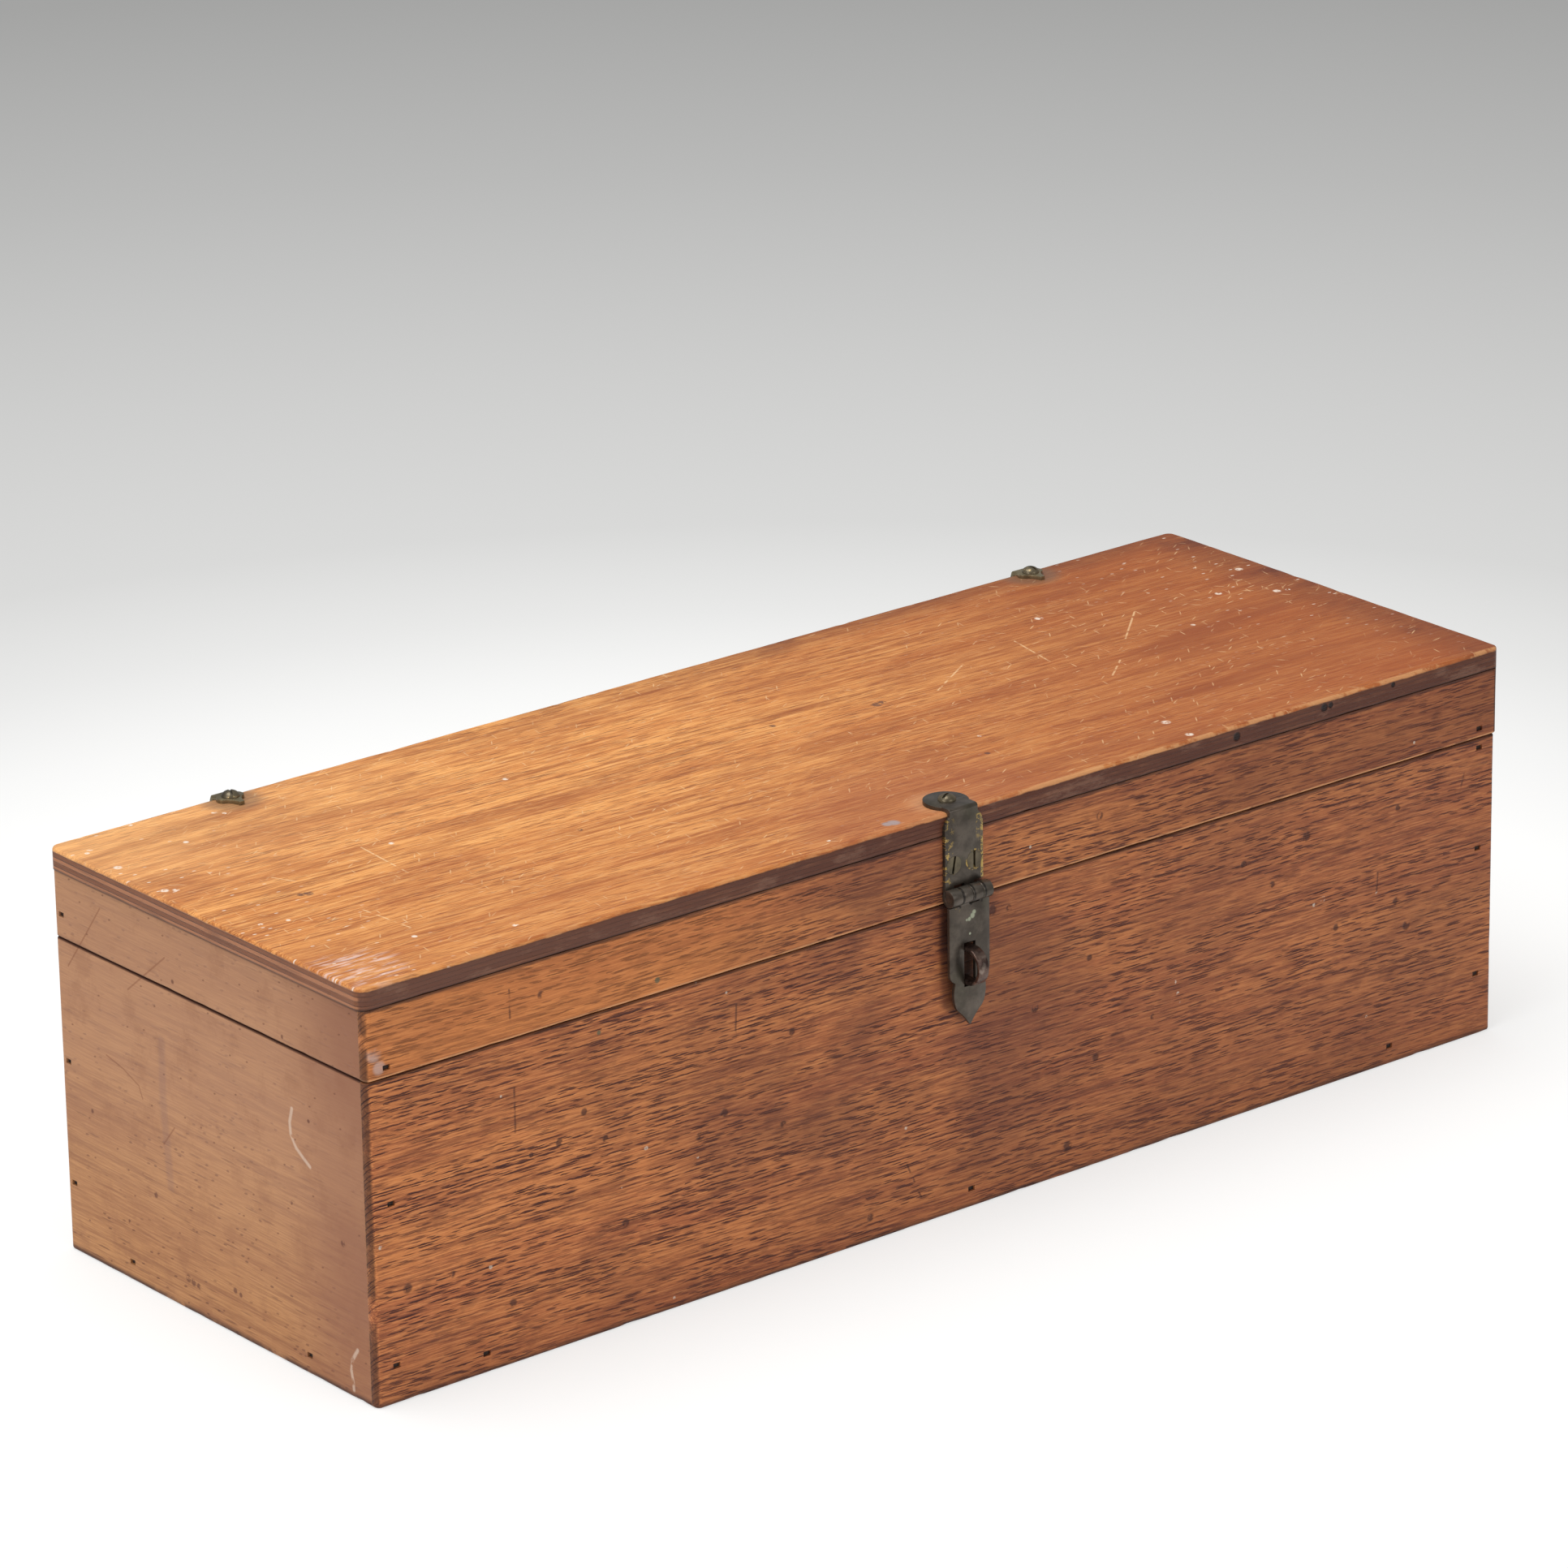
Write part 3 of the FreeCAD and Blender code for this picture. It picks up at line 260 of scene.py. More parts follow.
frontLooks = {
    "grain": "x",
    "tilt": 0.3,
    "wander": 4 * mm,
    "light": (200, 126, 73),
    "dark": (179, 106, 64),
    "deep": (118, 63, 43),
    "bright": (220, 147, 90),
    "pore": (70, 34, 32),
    "banding": 0.5,
    "streak": 0.65,
    "gleam": 0.6,
    # length and width of a cell in millimetres, share of cells with a pore, strength
    "pores": [(12, 0.78, 0.45, 0.95), (6.5, 0.7, 0.4, 0.85), (22, 0.85, 0.28, 0.9)],
}

frontMarks = {
    # (x, z) on the front, with a radius where a mark is round
    "hand": [(-25, 62, 90), (-10, 78, 26)],
    "besideStrap": [[(-6.6, 97), (-7, 86), (-6.6, 68), (0, 62)]],
    "behindLeaf": [[(-0.5, 74), (-0.5, 83)]],
    "behindKnuckles": [[(-6, 103), (5, 103)]],
    "scratches": [
        [(-166.1, 113.2), (-166, 100.4)],
        [(-165.3, 83.7), (-165.3, 70.2)],
        [(-85.3, 87.7), (-85.9, 77.2)],
        [(-22.4, 20.5), (-17.1, 8.7)],
        [(166.6, 64.8), (166.2, 58.2)],
        [(203.9, 91.5), (201, 83)],
    ],
    "dents": [
        (-140.9, 69.7, 1.4), (-150, 62.9, 1.6), (-160, 61.8, 1), (-133.5, 59.5, 1.3),
        (-90.5, 55.5, 1.8), (-68.8, 46.2, 1.3), (-99.5, 50.8, 1.7), (-36.6, 7.7, 1.6),
        (-127, 31.8, 1.6), (-188.8, 33.6, 1.4), (-204.3, 33.8, 1.9), (-65, 73.8, 1.3),
        (-167.8, 18.8, 1.6), (136.7, 84, 2), (178.9, 44.3, 1.9), (174.4, 53.5, 1.5), (149.3, 51.2, 1.4),
        (111, 81.3, 1.5), (122.7, 71.9, 1.3), (51.4, 34.7, 1.5), (40.1, 9, 2.2), (174.8, 83.9, 1.3),
        (53.2, 111.1, 1.6), (74.2, 41.8, 1.1), (27.5, 56.7, 1.7), (49.1, 67.2, 1.3), (-155, 109, 1.5),
        (11, 92, 2.1), (17.5, 91.2, 1.2),
    ],
    "specks": [
        (-119.1, 52.5, 0.9), (-170, 82.3, 0.5), (-213.3, 48.7, 0.8), (-100.4, 44.8, 0.8),
        (-88.9, 92.2, 0.5), (-99.7, 98, 0.5), (-110.1, 3.5, 0.6), (-22.7, 32.2, 0.7), (-175.4, 32, 0.9),
        (159.3, 76.5, 0.6), (166.2, 58.2, 0.6), (143.7, 61.9, 1.2), (140, 60.9, 0.8),
        (162.5, 18.4, 0.6), (181.3, 103.5, 0.6), (83.2, 50.5, 0.8), (84.4, 46.6, 0.7), (85, 43.5, 0.5),
        (-128, 43, 0.5), (26, 108, 0.6), (-28, 104, 0.7),
    ],
    "scuffs": [(-213, 106.5, 3.2), (-211.5, 102, 2.6)],
    "green": [(-113.7, 102.5, 1.2), (-135, 92.2, 0.9)],
}

boardStains = {
    # how strong, and the colour
    "rightward": (0.3, (114, 66, 53)),
    "foot": (0.3, (112, 64, 48)),
    "smudge": (0.24, (96, 56, 44)),
    "blotch": (0.3, (92, 50, 38)),
    "lidLeft": (0.35, (208, 130, 68)),
    "lidRight": (0.3, (104, 54, 36)),
    "hand": (0.4, (88, 50, 43)),
    "besideStrap": (1, (58, 34, 30)),
    "behindHasp": (0.85, (32, 20, 17)),
    "scratch": (0.75, (62, 34, 32)),
    "speck": (0.8, (204, 188, 172)),
    "scuff": (0.7, (188, 160, 150)),
    "green": (0.8, (84, 92, 72)),
    "backDent": (0.7, (62, 34, 32)),
    "rubbedSeam": (1, (208, 150, 104)),
    "dirt": (0.75, (62, 38, 30)),
    "inside": (0.4, (206, 156, 108)),
}


def boardFinish(name, outward):
    finish = Finish(name, boardStains)
    x, y, z = finish.x, finish.y, finish.z
    fade, patches = finish.fade, finish.patches
    tone, height = woodColour(finish, frontLooks)
    flat = finish.join(x, z)
    worn = finish.clouds(finish.place, 60, 4, 0.7)
    # duller, redder and darker to the right and towards the foot, darkest where the leaf hangs: beside it a
    # painted shadow with patina, behind it painted shade with grime
    tone = finish.stain(tone, "rightward", fade(x, -90 * mm, rightFace))
    tone = finish.stain(tone, "foot", fade(z, 40 * mm, -20 * mm))
    smudge = patches(0.42, 0.62, 16, 4, 0.65)
    tone = finish.stain(tone, "smudge", smudge)
    blotch = fade(finish.clouds(finish.join(x * 90, z * 140), 1, 3, 0.6), 0.56, 0.68)
    tone = finish.stain(tone, "blotch", blotch)
    onLid = fade(z, bodyTop, lidBottom)
    tone = finish.stain(tone, "lidLeft", onLid * fade(x, -30 * mm, -110 * mm))
    tone = finish.stain(tone, "lidRight", onLid * fade(x, 20 * mm, 120 * mm))
    if outward == "front":
        hand = finish.blots(flat, frontMarks["hand"])
        tone = finish.stain(tone, "hand", hand * (smudge * 0.6 + 0.4))
        # a painted shadow of the leaf along its left side and under its tip, with patina
        beside = finish.strokes(flat, frontMarks["besideStrap"], 3.2)
        tone = finish.stain(tone, "besideStrap", beside * (smudge * 0.4 + 0.5))
        # painted shade with grime on the wood seen through the leaf's slot and behind the knuckles
        behind = finish.strokes(flat, frontMarks["behindLeaf"], 6)
        behind = behind | finish.strokes(flat, frontMarks["behindKnuckles"], 3)
        tone = finish.stain(tone, "behindHasp", behind)
        scratches = finish.strokes(flat, frontMarks["scratches"], 0.5) * patches(0.38, 0.54, 260, 2) * 0.8
        dents = finish.blots(flat, frontMarks["dents"]) * patches(0.36, 0.5, 420, 2)
        specks = finish.blots(flat, frontMarks["specks"]) * patches(0.42, 0.54, 1100, 2)
        scuffs = finish.blots(flat, frontMarks["scuffs"]) * fade(worn, 0.4, 0.55)
        tone = finish.stain(tone, "scratch", scratches | dents)
        tone = finish.stain(tone, "speck", specks)
        tone = finish.stain(tone, "scuff", scuffs)
        tone = finish.stain(tone, "green", finish.blots(flat, frontMarks["green"]))
        height = height - dents * 2 - scratches
        outside = fade(y, frontFace + 3.2 * mm, frontFace + 2.6 * mm)
    else:
        dents = finish.flecks(x / (18 * mm), z / (12 * mm), 0.2, 0.1)
        tone = finish.stain(tone, "backDent", dents)
        outside = fade(y, backFace - 1.6 * mm, backFace - 1 * mm)
    # the lid's lower arris is rubbed pale; under the panel, in the seam between lid and body and along the
    # foot the wood is darkened by painted shade with grime, and it is also darker along the corners
    seam = fade(z, lidBottom + 0.9 * mm, lidBottom + 0.4 * mm)
    seam = seam * fade(z, bodyTop, lidBottom)
    tone = finish.stain(tone, "rubbedSeam", seam * (fade(worn, 0.4, 0.5) * 0.6 + 0.3))
    gap = fade(z, bodyTop - 1 * mm, bodyTop - 0.4 * mm)
    gap = gap * fade(z, lidBottom, bodyTop)
    dirt = fade(z, panelBottom - 1.2 * mm, panelBottom - 0.2 * mm) | gap
    dirt = dirt | fade(z, 2.4 * mm, 0.5 * mm) * fade(worn, 0.26, 0.5)
    for side, inward in ((leftFace, mm), (rightFace, -mm)):
        corner = fade(x, side + 1.3 * inward, side + 0.5 * inward)
        dirt = dirt | corner * fade(worn, 0.3, 0.5)
    tone = finish.stain(tone, "dirt", dirt)
    inside = finish.stain(tone, "inside")
    tone = finish.mix(outside, inside, tone)
    roughness = worn * 0.2 + 0.42
    return finish.surface(tone, roughness, height, 0.14 * mm, constants={"Specular IOR Level": 0.2})


endLooks = {
    "grain": "y",
    "tilt": 1.5,
    "wander": 1.5 * mm,
    "light": (176, 126, 82),
    "dark": (160, 110, 72),
    "deep": (132, 84, 56),
    "bright": (194, 144, 98),
    "pore": (100, 58, 40),
    "banding": 0.5,
    "streak": 0.42,
    "gleam": 0.4,
    "pores": [(11, 1.1, 0.16, 0.5), (3, 1.3, 0.08, 0.7)],
}

endMarks = {
    # (y, z) on the left end
    "smears": [
        [(-39.9, 80), (-38.6, 75.6), (-38.9, 72), (-41.2, 68.6), (-44.4, 66.6), (-47.6, 64.8)],
        [(-67.3, 15.4), (-64.6, 11.6), (-63.9, 8), (-64.6, 5), (-64.8, 2.4)],
    ],
    "scratches": [
        [(52, 113.4), (60, 103), (69.7, 90.7)],
        [(20, 107.7), (39.4, 92.3)],
        [(52.1, 68.2), (44, 66.6), (36.1, 63.6), (34.4, 60)],
        [(18.8, 55.8), (24.6, 49)],
    ],
    "stripe": [[(23.5, 81), (24, 62), (22, 37)]],
    "dents": [
        (-47.7, 78.6, 0.8), (-37.9, 50.8, 0.8), (29.8, 31.5, 1.2), (16.5, 101.4, 0.9),
        (28.1, 67.3, 0.7), (60.8, 48, 0.9), (44.1, 18.6, 0.8), (-60.4, 98.7, 0.8), (-36.6, 100.6, 0.8),
        (-62.1, 46.2, 1.3), (15.1, 10.2, 1.6), (12.6, 9.7, 1.5), (10.1, 9.3, 1.3), (-8.3, 14.1, 1.2),
        (-11, 13.6, 1),
    ],
}

endStains = {
    # how strong, and the colour
    "upward": (0.55, (178, 133, 104)),
    "toFront": (1, (140, 92, 68)),
    "corner": (0.65, (84, 52, 42)),
    "cloudy": (0.26, (132, 84, 58)),
    "endGrain": (1, (112, 70, 46)),
    "fine": (0.6, (104, 60, 42)),
    "stripe": (0.22, (110, 84, 88)),
    "scratch": (0.55, (128, 76, 48)),
    "dent": (0.75, (94, 52, 38)),
    "smear": (0.46, (220, 200, 182)),
    "dirt": (1, (70, 40, 31)),
}


def endFinish(name, side):
    finish = Finish(name, endStains)
    x, y, z = finish.x, finish.y, finish.z
    fade, patches = finish.fade, finish.patches
    tone, height = woodColour(finish, endLooks)
    flat = finish.join(y, z)
    worn = finish.clouds(finish.place, 60, 4, 0.7)
    # greyer and pinker up and back, brown and dull towards the front arris
    haze = patches(0.3, 0.7, 20, 3)
    tone = finish.stain(tone, "upward", fade(z, 5 * mm, 85 * mm))
    toFront = fade(y, frontFace + 48 * mm, frontFace + 4 * mm)
    tone = finish.stain(tone, "toFront", toFront * (haze * 0.5 + 0.4))
    toCorner = fade(y, frontFace + 3 * mm, frontFace + 1 * mm) * fade(worn, 0.26, 0.46)
    tone = finish.stain(tone, "corner", toCorner)
    tone = finish.stain(tone, "cloudy", patches(0.5, 0.66, 70, 5, 0.7))
    endGrain = fade(y, backFace - 0.9 * mm, backFace - 0.3 * mm)
    rings = fade(finish.clouds(finish.join(x * 260, z * 900), 1, 4, 0.7), 0.4, 0.62)
    tone = finish.stain(tone, "endGrain", endGrain * (rings * 0.3 + 0.45))
    fine = finish.flecks(y / (8 * mm), z / (5 * mm), 0.2, 0.08)
    tone = finish.stain(tone, "fine", fine)
    if side == "left":
        dents = finish.blots(flat, endMarks["dents"]) * patches(0.34, 0.5, 620, 2)
        smears = finish.strokes(flat, endMarks["smears"], 0.9) * patches(0.32, 0.46, 330, 3)
        tone = finish.stain(tone, "stripe", finish.strokes(flat, endMarks["stripe"], 2.6))
        tone = finish.stain(tone, "scratch", finish.strokes(flat, endMarks["scratches"], 0.4))
        tone = finish.stain(tone, "dent", dents)
        tone = finish.stain(tone, "smear", smears)
    face, inward = (leftFace, mm) if side == "left" else (rightFace, -mm)
    outside = fade(x, face + 1.4 * inward, face + 0.8 * inward)
    # painted shade with grime darkens the seam between lid and body, the wood just under the panel and the
    # foot
    seam = fade(z, lidBottom + 0.7 * mm, lidBottom + 0.1 * mm)
    seam = seam * fade(z, bodyTop - 0.7 * mm, bodyTop - 0.1 * mm)
    dirt = seam | fade(z, panelBottom - 1.1 * mm, panelBottom - 0.1 * mm)
    dirt = dirt | fade(z, 2.6 * mm, 0.6 * mm) * fade(worn, 0.28, 0.52)
    tone = finish.stain(tone, "dirt", dirt * (outside * 0.85 + 0.1))
    roughness = worn * 0.16 + 0.42
    return finish.surface(tone, roughness, height, 0.06 * mm, constants={"Specular IOR Level": 0.2})


panelLooks = {
    "grain": "top",
    "tilt": -1.2,
    "wander": 3.5 * mm,
    "light": (234, 162, 90),
    "dark": (212, 136, 72),
    "deep": (150, 80, 38),
    "bright": (248, 190, 120),
    "pore": (104, 54, 36),
    "banding": 0.5,
    "streak": 0.55,
    "gleam": 0.6,
    "pores": [(9, 1, 0.3, 0.5), (5, 0.8, 0.25, 0.4), (22, 1.3, 0.16, 0.4)],
    "plies": 5,
    "lightPly": (164, 110, 78),
    "darkPly": (126, 80, 56),
}

panelMarks = {
    # (x, y) on the top
    "scratches": [
        [(156.8, 24.5), (136.6, 6.3)],
        [(121.8, -7.9), (110.7, -16.9)],
        [(-150, 14.5), (-152.2, -10.9)],
        [(-179.4, -26.5), (-177.7, -46.2)],
        [(109.4, 27.2), (105, 5.7)],
        [(-183.6, 11.7), (-180.3, 4.5)],
        [(83.3, 21.1), (62, 8)],
    ],
    "flecks": [
        (129.3, 38.6, 1.7), (94.2, -59.5, 1.8), (-212, 47.5, 1.6), (-212.7, 23.3, 1.6),
        (-210, 21.5, 1.3), (-207.8, -16.6, 1), (-200, -19, 0.9), (-181, -52.7, 1.1), (-84, 32.7, 1.2),
        (-141.4, 11.4, 1.2), (-185.3, 51.7, 1.1), (-165, 66.3, 1.1), (-163, 64, 0.9),
        (208.3, 32.8, 1.6), (187.2, 19.3, 1.4), (202.6, 9, 1.6), (206, 7.5, 1.1), (92.2, -72.2, 1.6),
        (160.8, 2, 1), (-212, 63, 1), (-189.3, 74, 0.9), (-154.6, -64.5, 1.2), (44.7, -31.5, 0.9),
        (-46, -70.6, 0.8),
    ],
    "dents": [
        (-183.4, -5.7, 1.9), (-185.4, -5.1, 1.6), (39.9, 10.5, 2.1), (42.4, 10.9, 1.7),
        (4.2, 16.4, 1.3), (36.6, -44.6, 1.2), (-93.9, -16, 1),
    ],
    "grey": [(-22.5, -71.6, 2.6), (-24.6, -71.3, 2)],
    "handled": [(-5, -76, 60)],
    "rubbedCorner": [(-207, -62, 17)],
    "rubbedRound": [(-1.5, -67.5, 12)],
    "tarnish": [(-155, 72, 12), (155, 72, 12)],
    # (x, z) on the front edge
    "holes": [(107.9, 122.9, 1.7), (143.6, 123.7, 1.7), (146.2, 123.9, 1.2), (172.1, 124.4, 1)],
    # turn of the scratches in radians, and the share of cells that have one
    "crossing": [(0.5, 0.16), (-0.9, 0.16), (1.35, 0.12), (0.1, 0.2), (0.9, 0.1)],
}

panelStains = {
    # how strong, and the colour
    "rightward": (0.72, (150, 72, 32)),
    "farCorner": (0.35, (240, 190, 132)),
    "nearFront": (0.34, (160, 82, 42)),
    "handled": (0.5, (156, 84, 54)),
    "long": (1, (146, 74, 37)),
    "patch": (0.26, (146, 72, 38)),
    "rim": (1, (104, 52, 35)),
    "scratch": (0.6, (242, 202, 152)),
    "paint": (0.85, (240, 224, 206)),
    "rubbedCorner": (0.6, (230, 204, 196)),
    "dent": (0.75, (84, 58, 56)),
    "grey": (0.8, (160, 150, 150)),
    "tarnish": (0.6, (116, 92, 74)),
    "rubbedRound": (0.3, (220, 168, 124)),
    "glue": (0.75, (66, 42, 34)),
    "fibres": (0.5, (92, 58, 44)),
    "front": (1, (86, 48, 36)),
    "frontLeft": (0.4, (124, 86, 70)),
    "pale": (0.5, (132, 96, 78)),
    "under": (1, (38, 24, 22)),
    "veneer": (0.5, (196, 142, 92)),
    "arris": (1, (206, 152, 102)),
}


def panelFinish(name):
    finish = Finish(name, panelStains)
    x, y, z = finish.x, finish.y, finish.z
    fade, patches = finish.fade, finish.patches
    tone, height = woodColour(finish, panelLooks)
    flat = finish.join(x, y)
    # redder and darker to the right and along the front; the light left side and the pale far left corner
    # are partly the wood's colour and partly painted sheen
    away = fade(x, -60 * mm, 200 * mm)
    tone = finish.stain(tone, "rightward", away)
    farCorner = fade(x, -60 * mm, leftFace) * fade(y, -10 * mm, 70 * mm)
    tone = finish.stain(tone, "farCorner", farCorner)
    tone = finish.stain(tone, "nearFront", fade(y, 40 * mm, frontFace))
    tone = finish.stain(tone, "handled", finish.blots(flat, panelMarks["handled"]))
    long = fade(finish.clouds(finish.join(x * 9, y * 60), 1, 4, 0.6), 0.5, 0.66)
    tone = finish.stain(tone, "long", long * (away * 0.3 + 0.4))
    patch = fade(finish.clouds(finish.join(x * 14, y * 26, 5), 1, 5, 0.7), 0.5, 0.62)
    tone = finish.stain(tone, "patch", patch)
    rim = fade(x, rightFace - 26 * mm, rightFace)
    rim = rim | fade(y, backFace - 16 * mm, backFace)
    rim = rim * fade(x, -120 * mm, 100 * mm) * (patch * 0.4 + 0.5)
    tone = finish.stain(tone, "rim", rim)
    # scratches in several directions, thickest where the lid was rubbed, with flecks and grains of paint
    rubbed = patches(0.38, 0.6, 24, 3)
    scratches = finish.strokes(flat, panelMarks["scratches"], 0.45)
    for turn, share in panelMarks["crossing"]:
        across = x * math.sin(turn) - y * math.cos(turn)
        along = x * math.cos(turn) + y * math.sin(turn)
        line = finish.flecks(along / (17 * mm), across / (2.2 * mm), share, 0.13)
        scratches = scratches | line * (rubbed * 0.75 + 0.15)
    scratches = scratches * patches(0.36, 0.56, 340, 3)
    tone = finish.stain(tone, "scratch", scratches)
    lime = fade(x, 140 * mm, rightFace) * fade(y, -60 * mm, 10 * mm)
    lime = lime | fade(x, -160 * mm, leftFace)
    grains = finish.flecks(x / (7 * mm), y / (3.4 * mm), 0.22, 0.11) * (lime * 0.85 + 0.12)
    grit = patches(0.36, 0.5, 900, 2)
    paintSpots = finish.blots(flat, panelMarks["flecks"]) * grit
    tone = finish.stain(tone, "paint", grains | paintSpots)
    brushed = fade(finish.clouds(finish.join(x * 90, y * 620), 1, 3, 0.6), 0.48, 0.62)
    corner = finish.blots(flat, panelMarks["rubbedCorner"]) * brushed
    tone = finish.stain(tone, "rubbedCorner", corner)
    dents = finish.blots(flat, panelMarks["dents"]) * grit
    tone = finish.stain(tone, "dent", dents)
    tone = finish.stain(tone, "grey", finish.blots(flat, panelMarks["grey"]))
    tone = finish.stain(tone, "tarnish", finish.blots(flat, panelMarks["tarnish"]))
    tone = finish.stain(tone, "rubbedRound", finish.blots(flat, panelMarks["rubbedRound"]))
    # the edges show the plies, light and dark by turns with glue lines; the front edge is nearly black
    layer = (z - panelBottom) / ((panelTop - panelBottom) / panelLooks["plies"])
    everyOther = fade((layer * 0.5).math("FRACT"), 0.47, 0.53)
    side = finish.mix(everyOther, panelLooks["lightPly"], panelLooks["darkPly"])
    wavering = layer + (finish.clouds(finish.join(x * 30, y * 30), 1, 2) - 0.5) * 0.35
    glue = fade(wavering.math("FRACT"), 0.2, 0.05) * patches(0.3, 0.5, 26, 3)
    fibres = finish.clouds(finish.join(x * 60, y * 60, z * 1500), 1, 3)
    side = finish.stain(side, "glue", glue)
    side = finish.stain(side, "fibres", fade(fibres, 0.48, 0.68))
    onFront = fade(y, frontFace + 2.2 * mm, frontFace + 1.2 * mm)
    soot = fade(finish.clouds(finish.join(x * 40, z * 300), 1, 4, 0.7), 0.25, 0.55)
    leftward = fade(x, 0, leftFace)
    side = finish.stain(side, "front", onFront * (soot * 0.45 + 0.5))
    side = finish.stain(side, "frontLeft", onFront * leftward * soot)
    pale = fade(finish.clouds(finish.join(x * 50, z * 160), 1, 5, 0.7), 0.52, 0.64)
    side = finish.stain(side, "pale", onFront * pale)
    holes = finish.blots(finish.join(x, z), panelMarks["holes"]) * onFront
    # painted shade with grime darkens the foot of the panel's edges at the joint with the rails; the holes
    # take the same dark colour
    under = fade(z, panelBottom + 0.9 * mm, panelBottom + 0.2 * mm)
    side = finish.stain(side, "under", (under * 0.7) | holes)
    edges = [(y, panelLow.y, mm), (y, panelHigh.y, -mm)]
    edges += [(x, panelLow.x, mm), (x, panelHigh.x, -mm)]
    strips = [fade(value, edge + 3 * inward, edge + 2 * inward) for value, edge, inward in edges]
    atEdge = strongest(strips)  # further in, what shows below is the underside's veneer
    side = finish.mix(atEdge, finish.stain(tone, "veneer"), side)
    ragged = finish.clouds(finish.join(x * 90, y * 90), 1, 4, 0.7)
    skin = z + (ragged - 0.5) * (1.1 * mm)
    tone = finish.mix(fade(skin, panelTop - 1.25 * mm, panelTop - 0.75 * mm), side, tone)
    # rubbed through to pale wood along the top arris, most to the right of the hasp
    rightward = fade(x, -40 * mm, 60 * mm)
    arris = fade(y, frontFace + 1.6 * mm, frontFace + 0.8 * mm)
    arris = arris * fade(skin, panelTop - 1.3 * mm, panelTop - 0.7 * mm)
    patchy = patches(0.42, 0.54, 90, 4, 0.7)
    tone = finish.stain(tone, "arris", arris * patchy * (rightward * 0.4 + 0.3))
    roughness = ragged * 0.2 + 0.36
    height = height - scratches * 0.4 - dents * 2 - holes * 6 - glue * atEdge * 2
    return finish.surface(tone, roughness, height, 0.1 * mm, constants={"Specular IOR Level": 0.22})


plainLooks = {
    **endLooks,
    "light": (206, 160, 112),
    "dark": (190, 142, 96),
    "deep": (150, 104, 70),
    "bright": (220, 178, 130),
    "streak": 0.4,
    "pores": [(8, 0.9, 0.3, 0.45)],
}

plainStains = {"grime": (0.35, (140, 98, 66))}


def plainWood(name, grain):
    finish = Finish(name, plainStains)
    tone, height = woodColour(finish, {**plainLooks, "grain": grain})
    tone = finish.stain(tone, "grime", finish.patches(0.5, 0.72, 30, 4, 0.6))
    return finish.surface(tone, 0.62, height, 0.1 * mm, constants={"Specular IOR Level": 0.3})


# Metals and cloth


haspLooks = {
    "dark": (68, 61, 54),
    "grey": (95, 86, 77),
    "green": (86, 84, 64),
    "bright": (196, 164, 92),
    "rubbed": 0.3,
}
hingeLooks = {
    "dark": (106, 95, 72),
    "grey": (140, 127, 98),
    "green": (118, 114, 84),
    "bright": (190, 164, 112),
    "rubbed": 0.5,
}
screwLooks = {
    "dark": (78, 70, 56),
    "grey": (116, 105, 84),
    "green": (100, 96, 74),
    "bright": (176, 152, 108),
    "rubbed": 0.7,
}

brassStains = {
    # how strong, and the colour
    "knuckle": (0.4, (150, 142, 130)),
    "joint": (0.8, (30, 26, 23)),
    "pit": (0.16, (42, 38, 32)),
    "dab": (0.8, (158, 164, 138)),
}


def knuckleShade(finish, tone):  # painted shade in the grooves between the hasp's knuckles, and a painted highlight on their tops
    low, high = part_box("hasp_pin")
    onRoll = finish.fade(finish.y, frontFace - 1.4 * mm, frontFace - 1.8 * mm)
    onRoll = onRoll * finish.fade(finish.z, low.z - 1.4 * mm, low.z - 1 * mm)
    onTop = finish.fade(finish.z, high.z - 1.4 * mm, high.z + mm)
    tone = finish.stain(tone, "knuckle", onRoll * onTop)
    for share in (0.25, 0.5, 0.75):
        gap = (finish.x - (low.x + (high.x - low.x) * share)).math("ABSOLUTE")
        tone = finish.stain(tone, "joint", onRoll * finish.fade(gap, 0.5 * mm, 0.2 * mm))
    return tone


def brassFinish(name, looks, marks=None):
    finish = Finish(name, brassStains)
    cloud = finish.clouds(finish.place, 90, 4, 0.65)
    fine = finish.clouds(finish.place, 1100, 3, 0.6)
    tone = finish.mix(finish.fade(cloud, 0.36, 0.64), looks["dark"], looks["grey"])
    green = finish.patches(0.52, 0.72, 120, 3)
    tone = finish.mix(green * 0.25, tone, looks["green"])
    tone = finish.stain(tone, "pit", finish.fade(fine, 0.52, 0.7))
    gold, dabs = marks(finish) if marks else (0, 0)
    level = 0.66 - looks["rubbed"] * 0.1
    bright = finish.fade(fine * 0.4 + cloud * 0.6, level, level + 0.08) | gold
    tone = finish.mix(bright, tone, looks["bright"])
    if marks:
        tone = knuckleShade(finish, tone)
    tone = finish.stain(tone, "dab", dabs)
    roughness = 0.28 - bright * 0.04 + fine * 0.1
    metallic = (bright * 0.2 + 0.7) * (1 - dabs)
    return finish.surface(tone, roughness, fine * 0.5 + bright * 0.4, 0.05 * mm, metallic=metallic)


haspSpots = {
    # (x, z) on the strap and the leaf, with a radius for a dab, and how strongly the gold shows
    "screw": (3.4, 110.2),
    "dabs": [(1.2, 95, 0.9), (0.6, 94, 1.1), (-0.6, 93.2, 0.8), (-1.6, 93.1, 0.5), (-0.4, 88.6, 0.5)],
    "rubbed": 0.75,
}


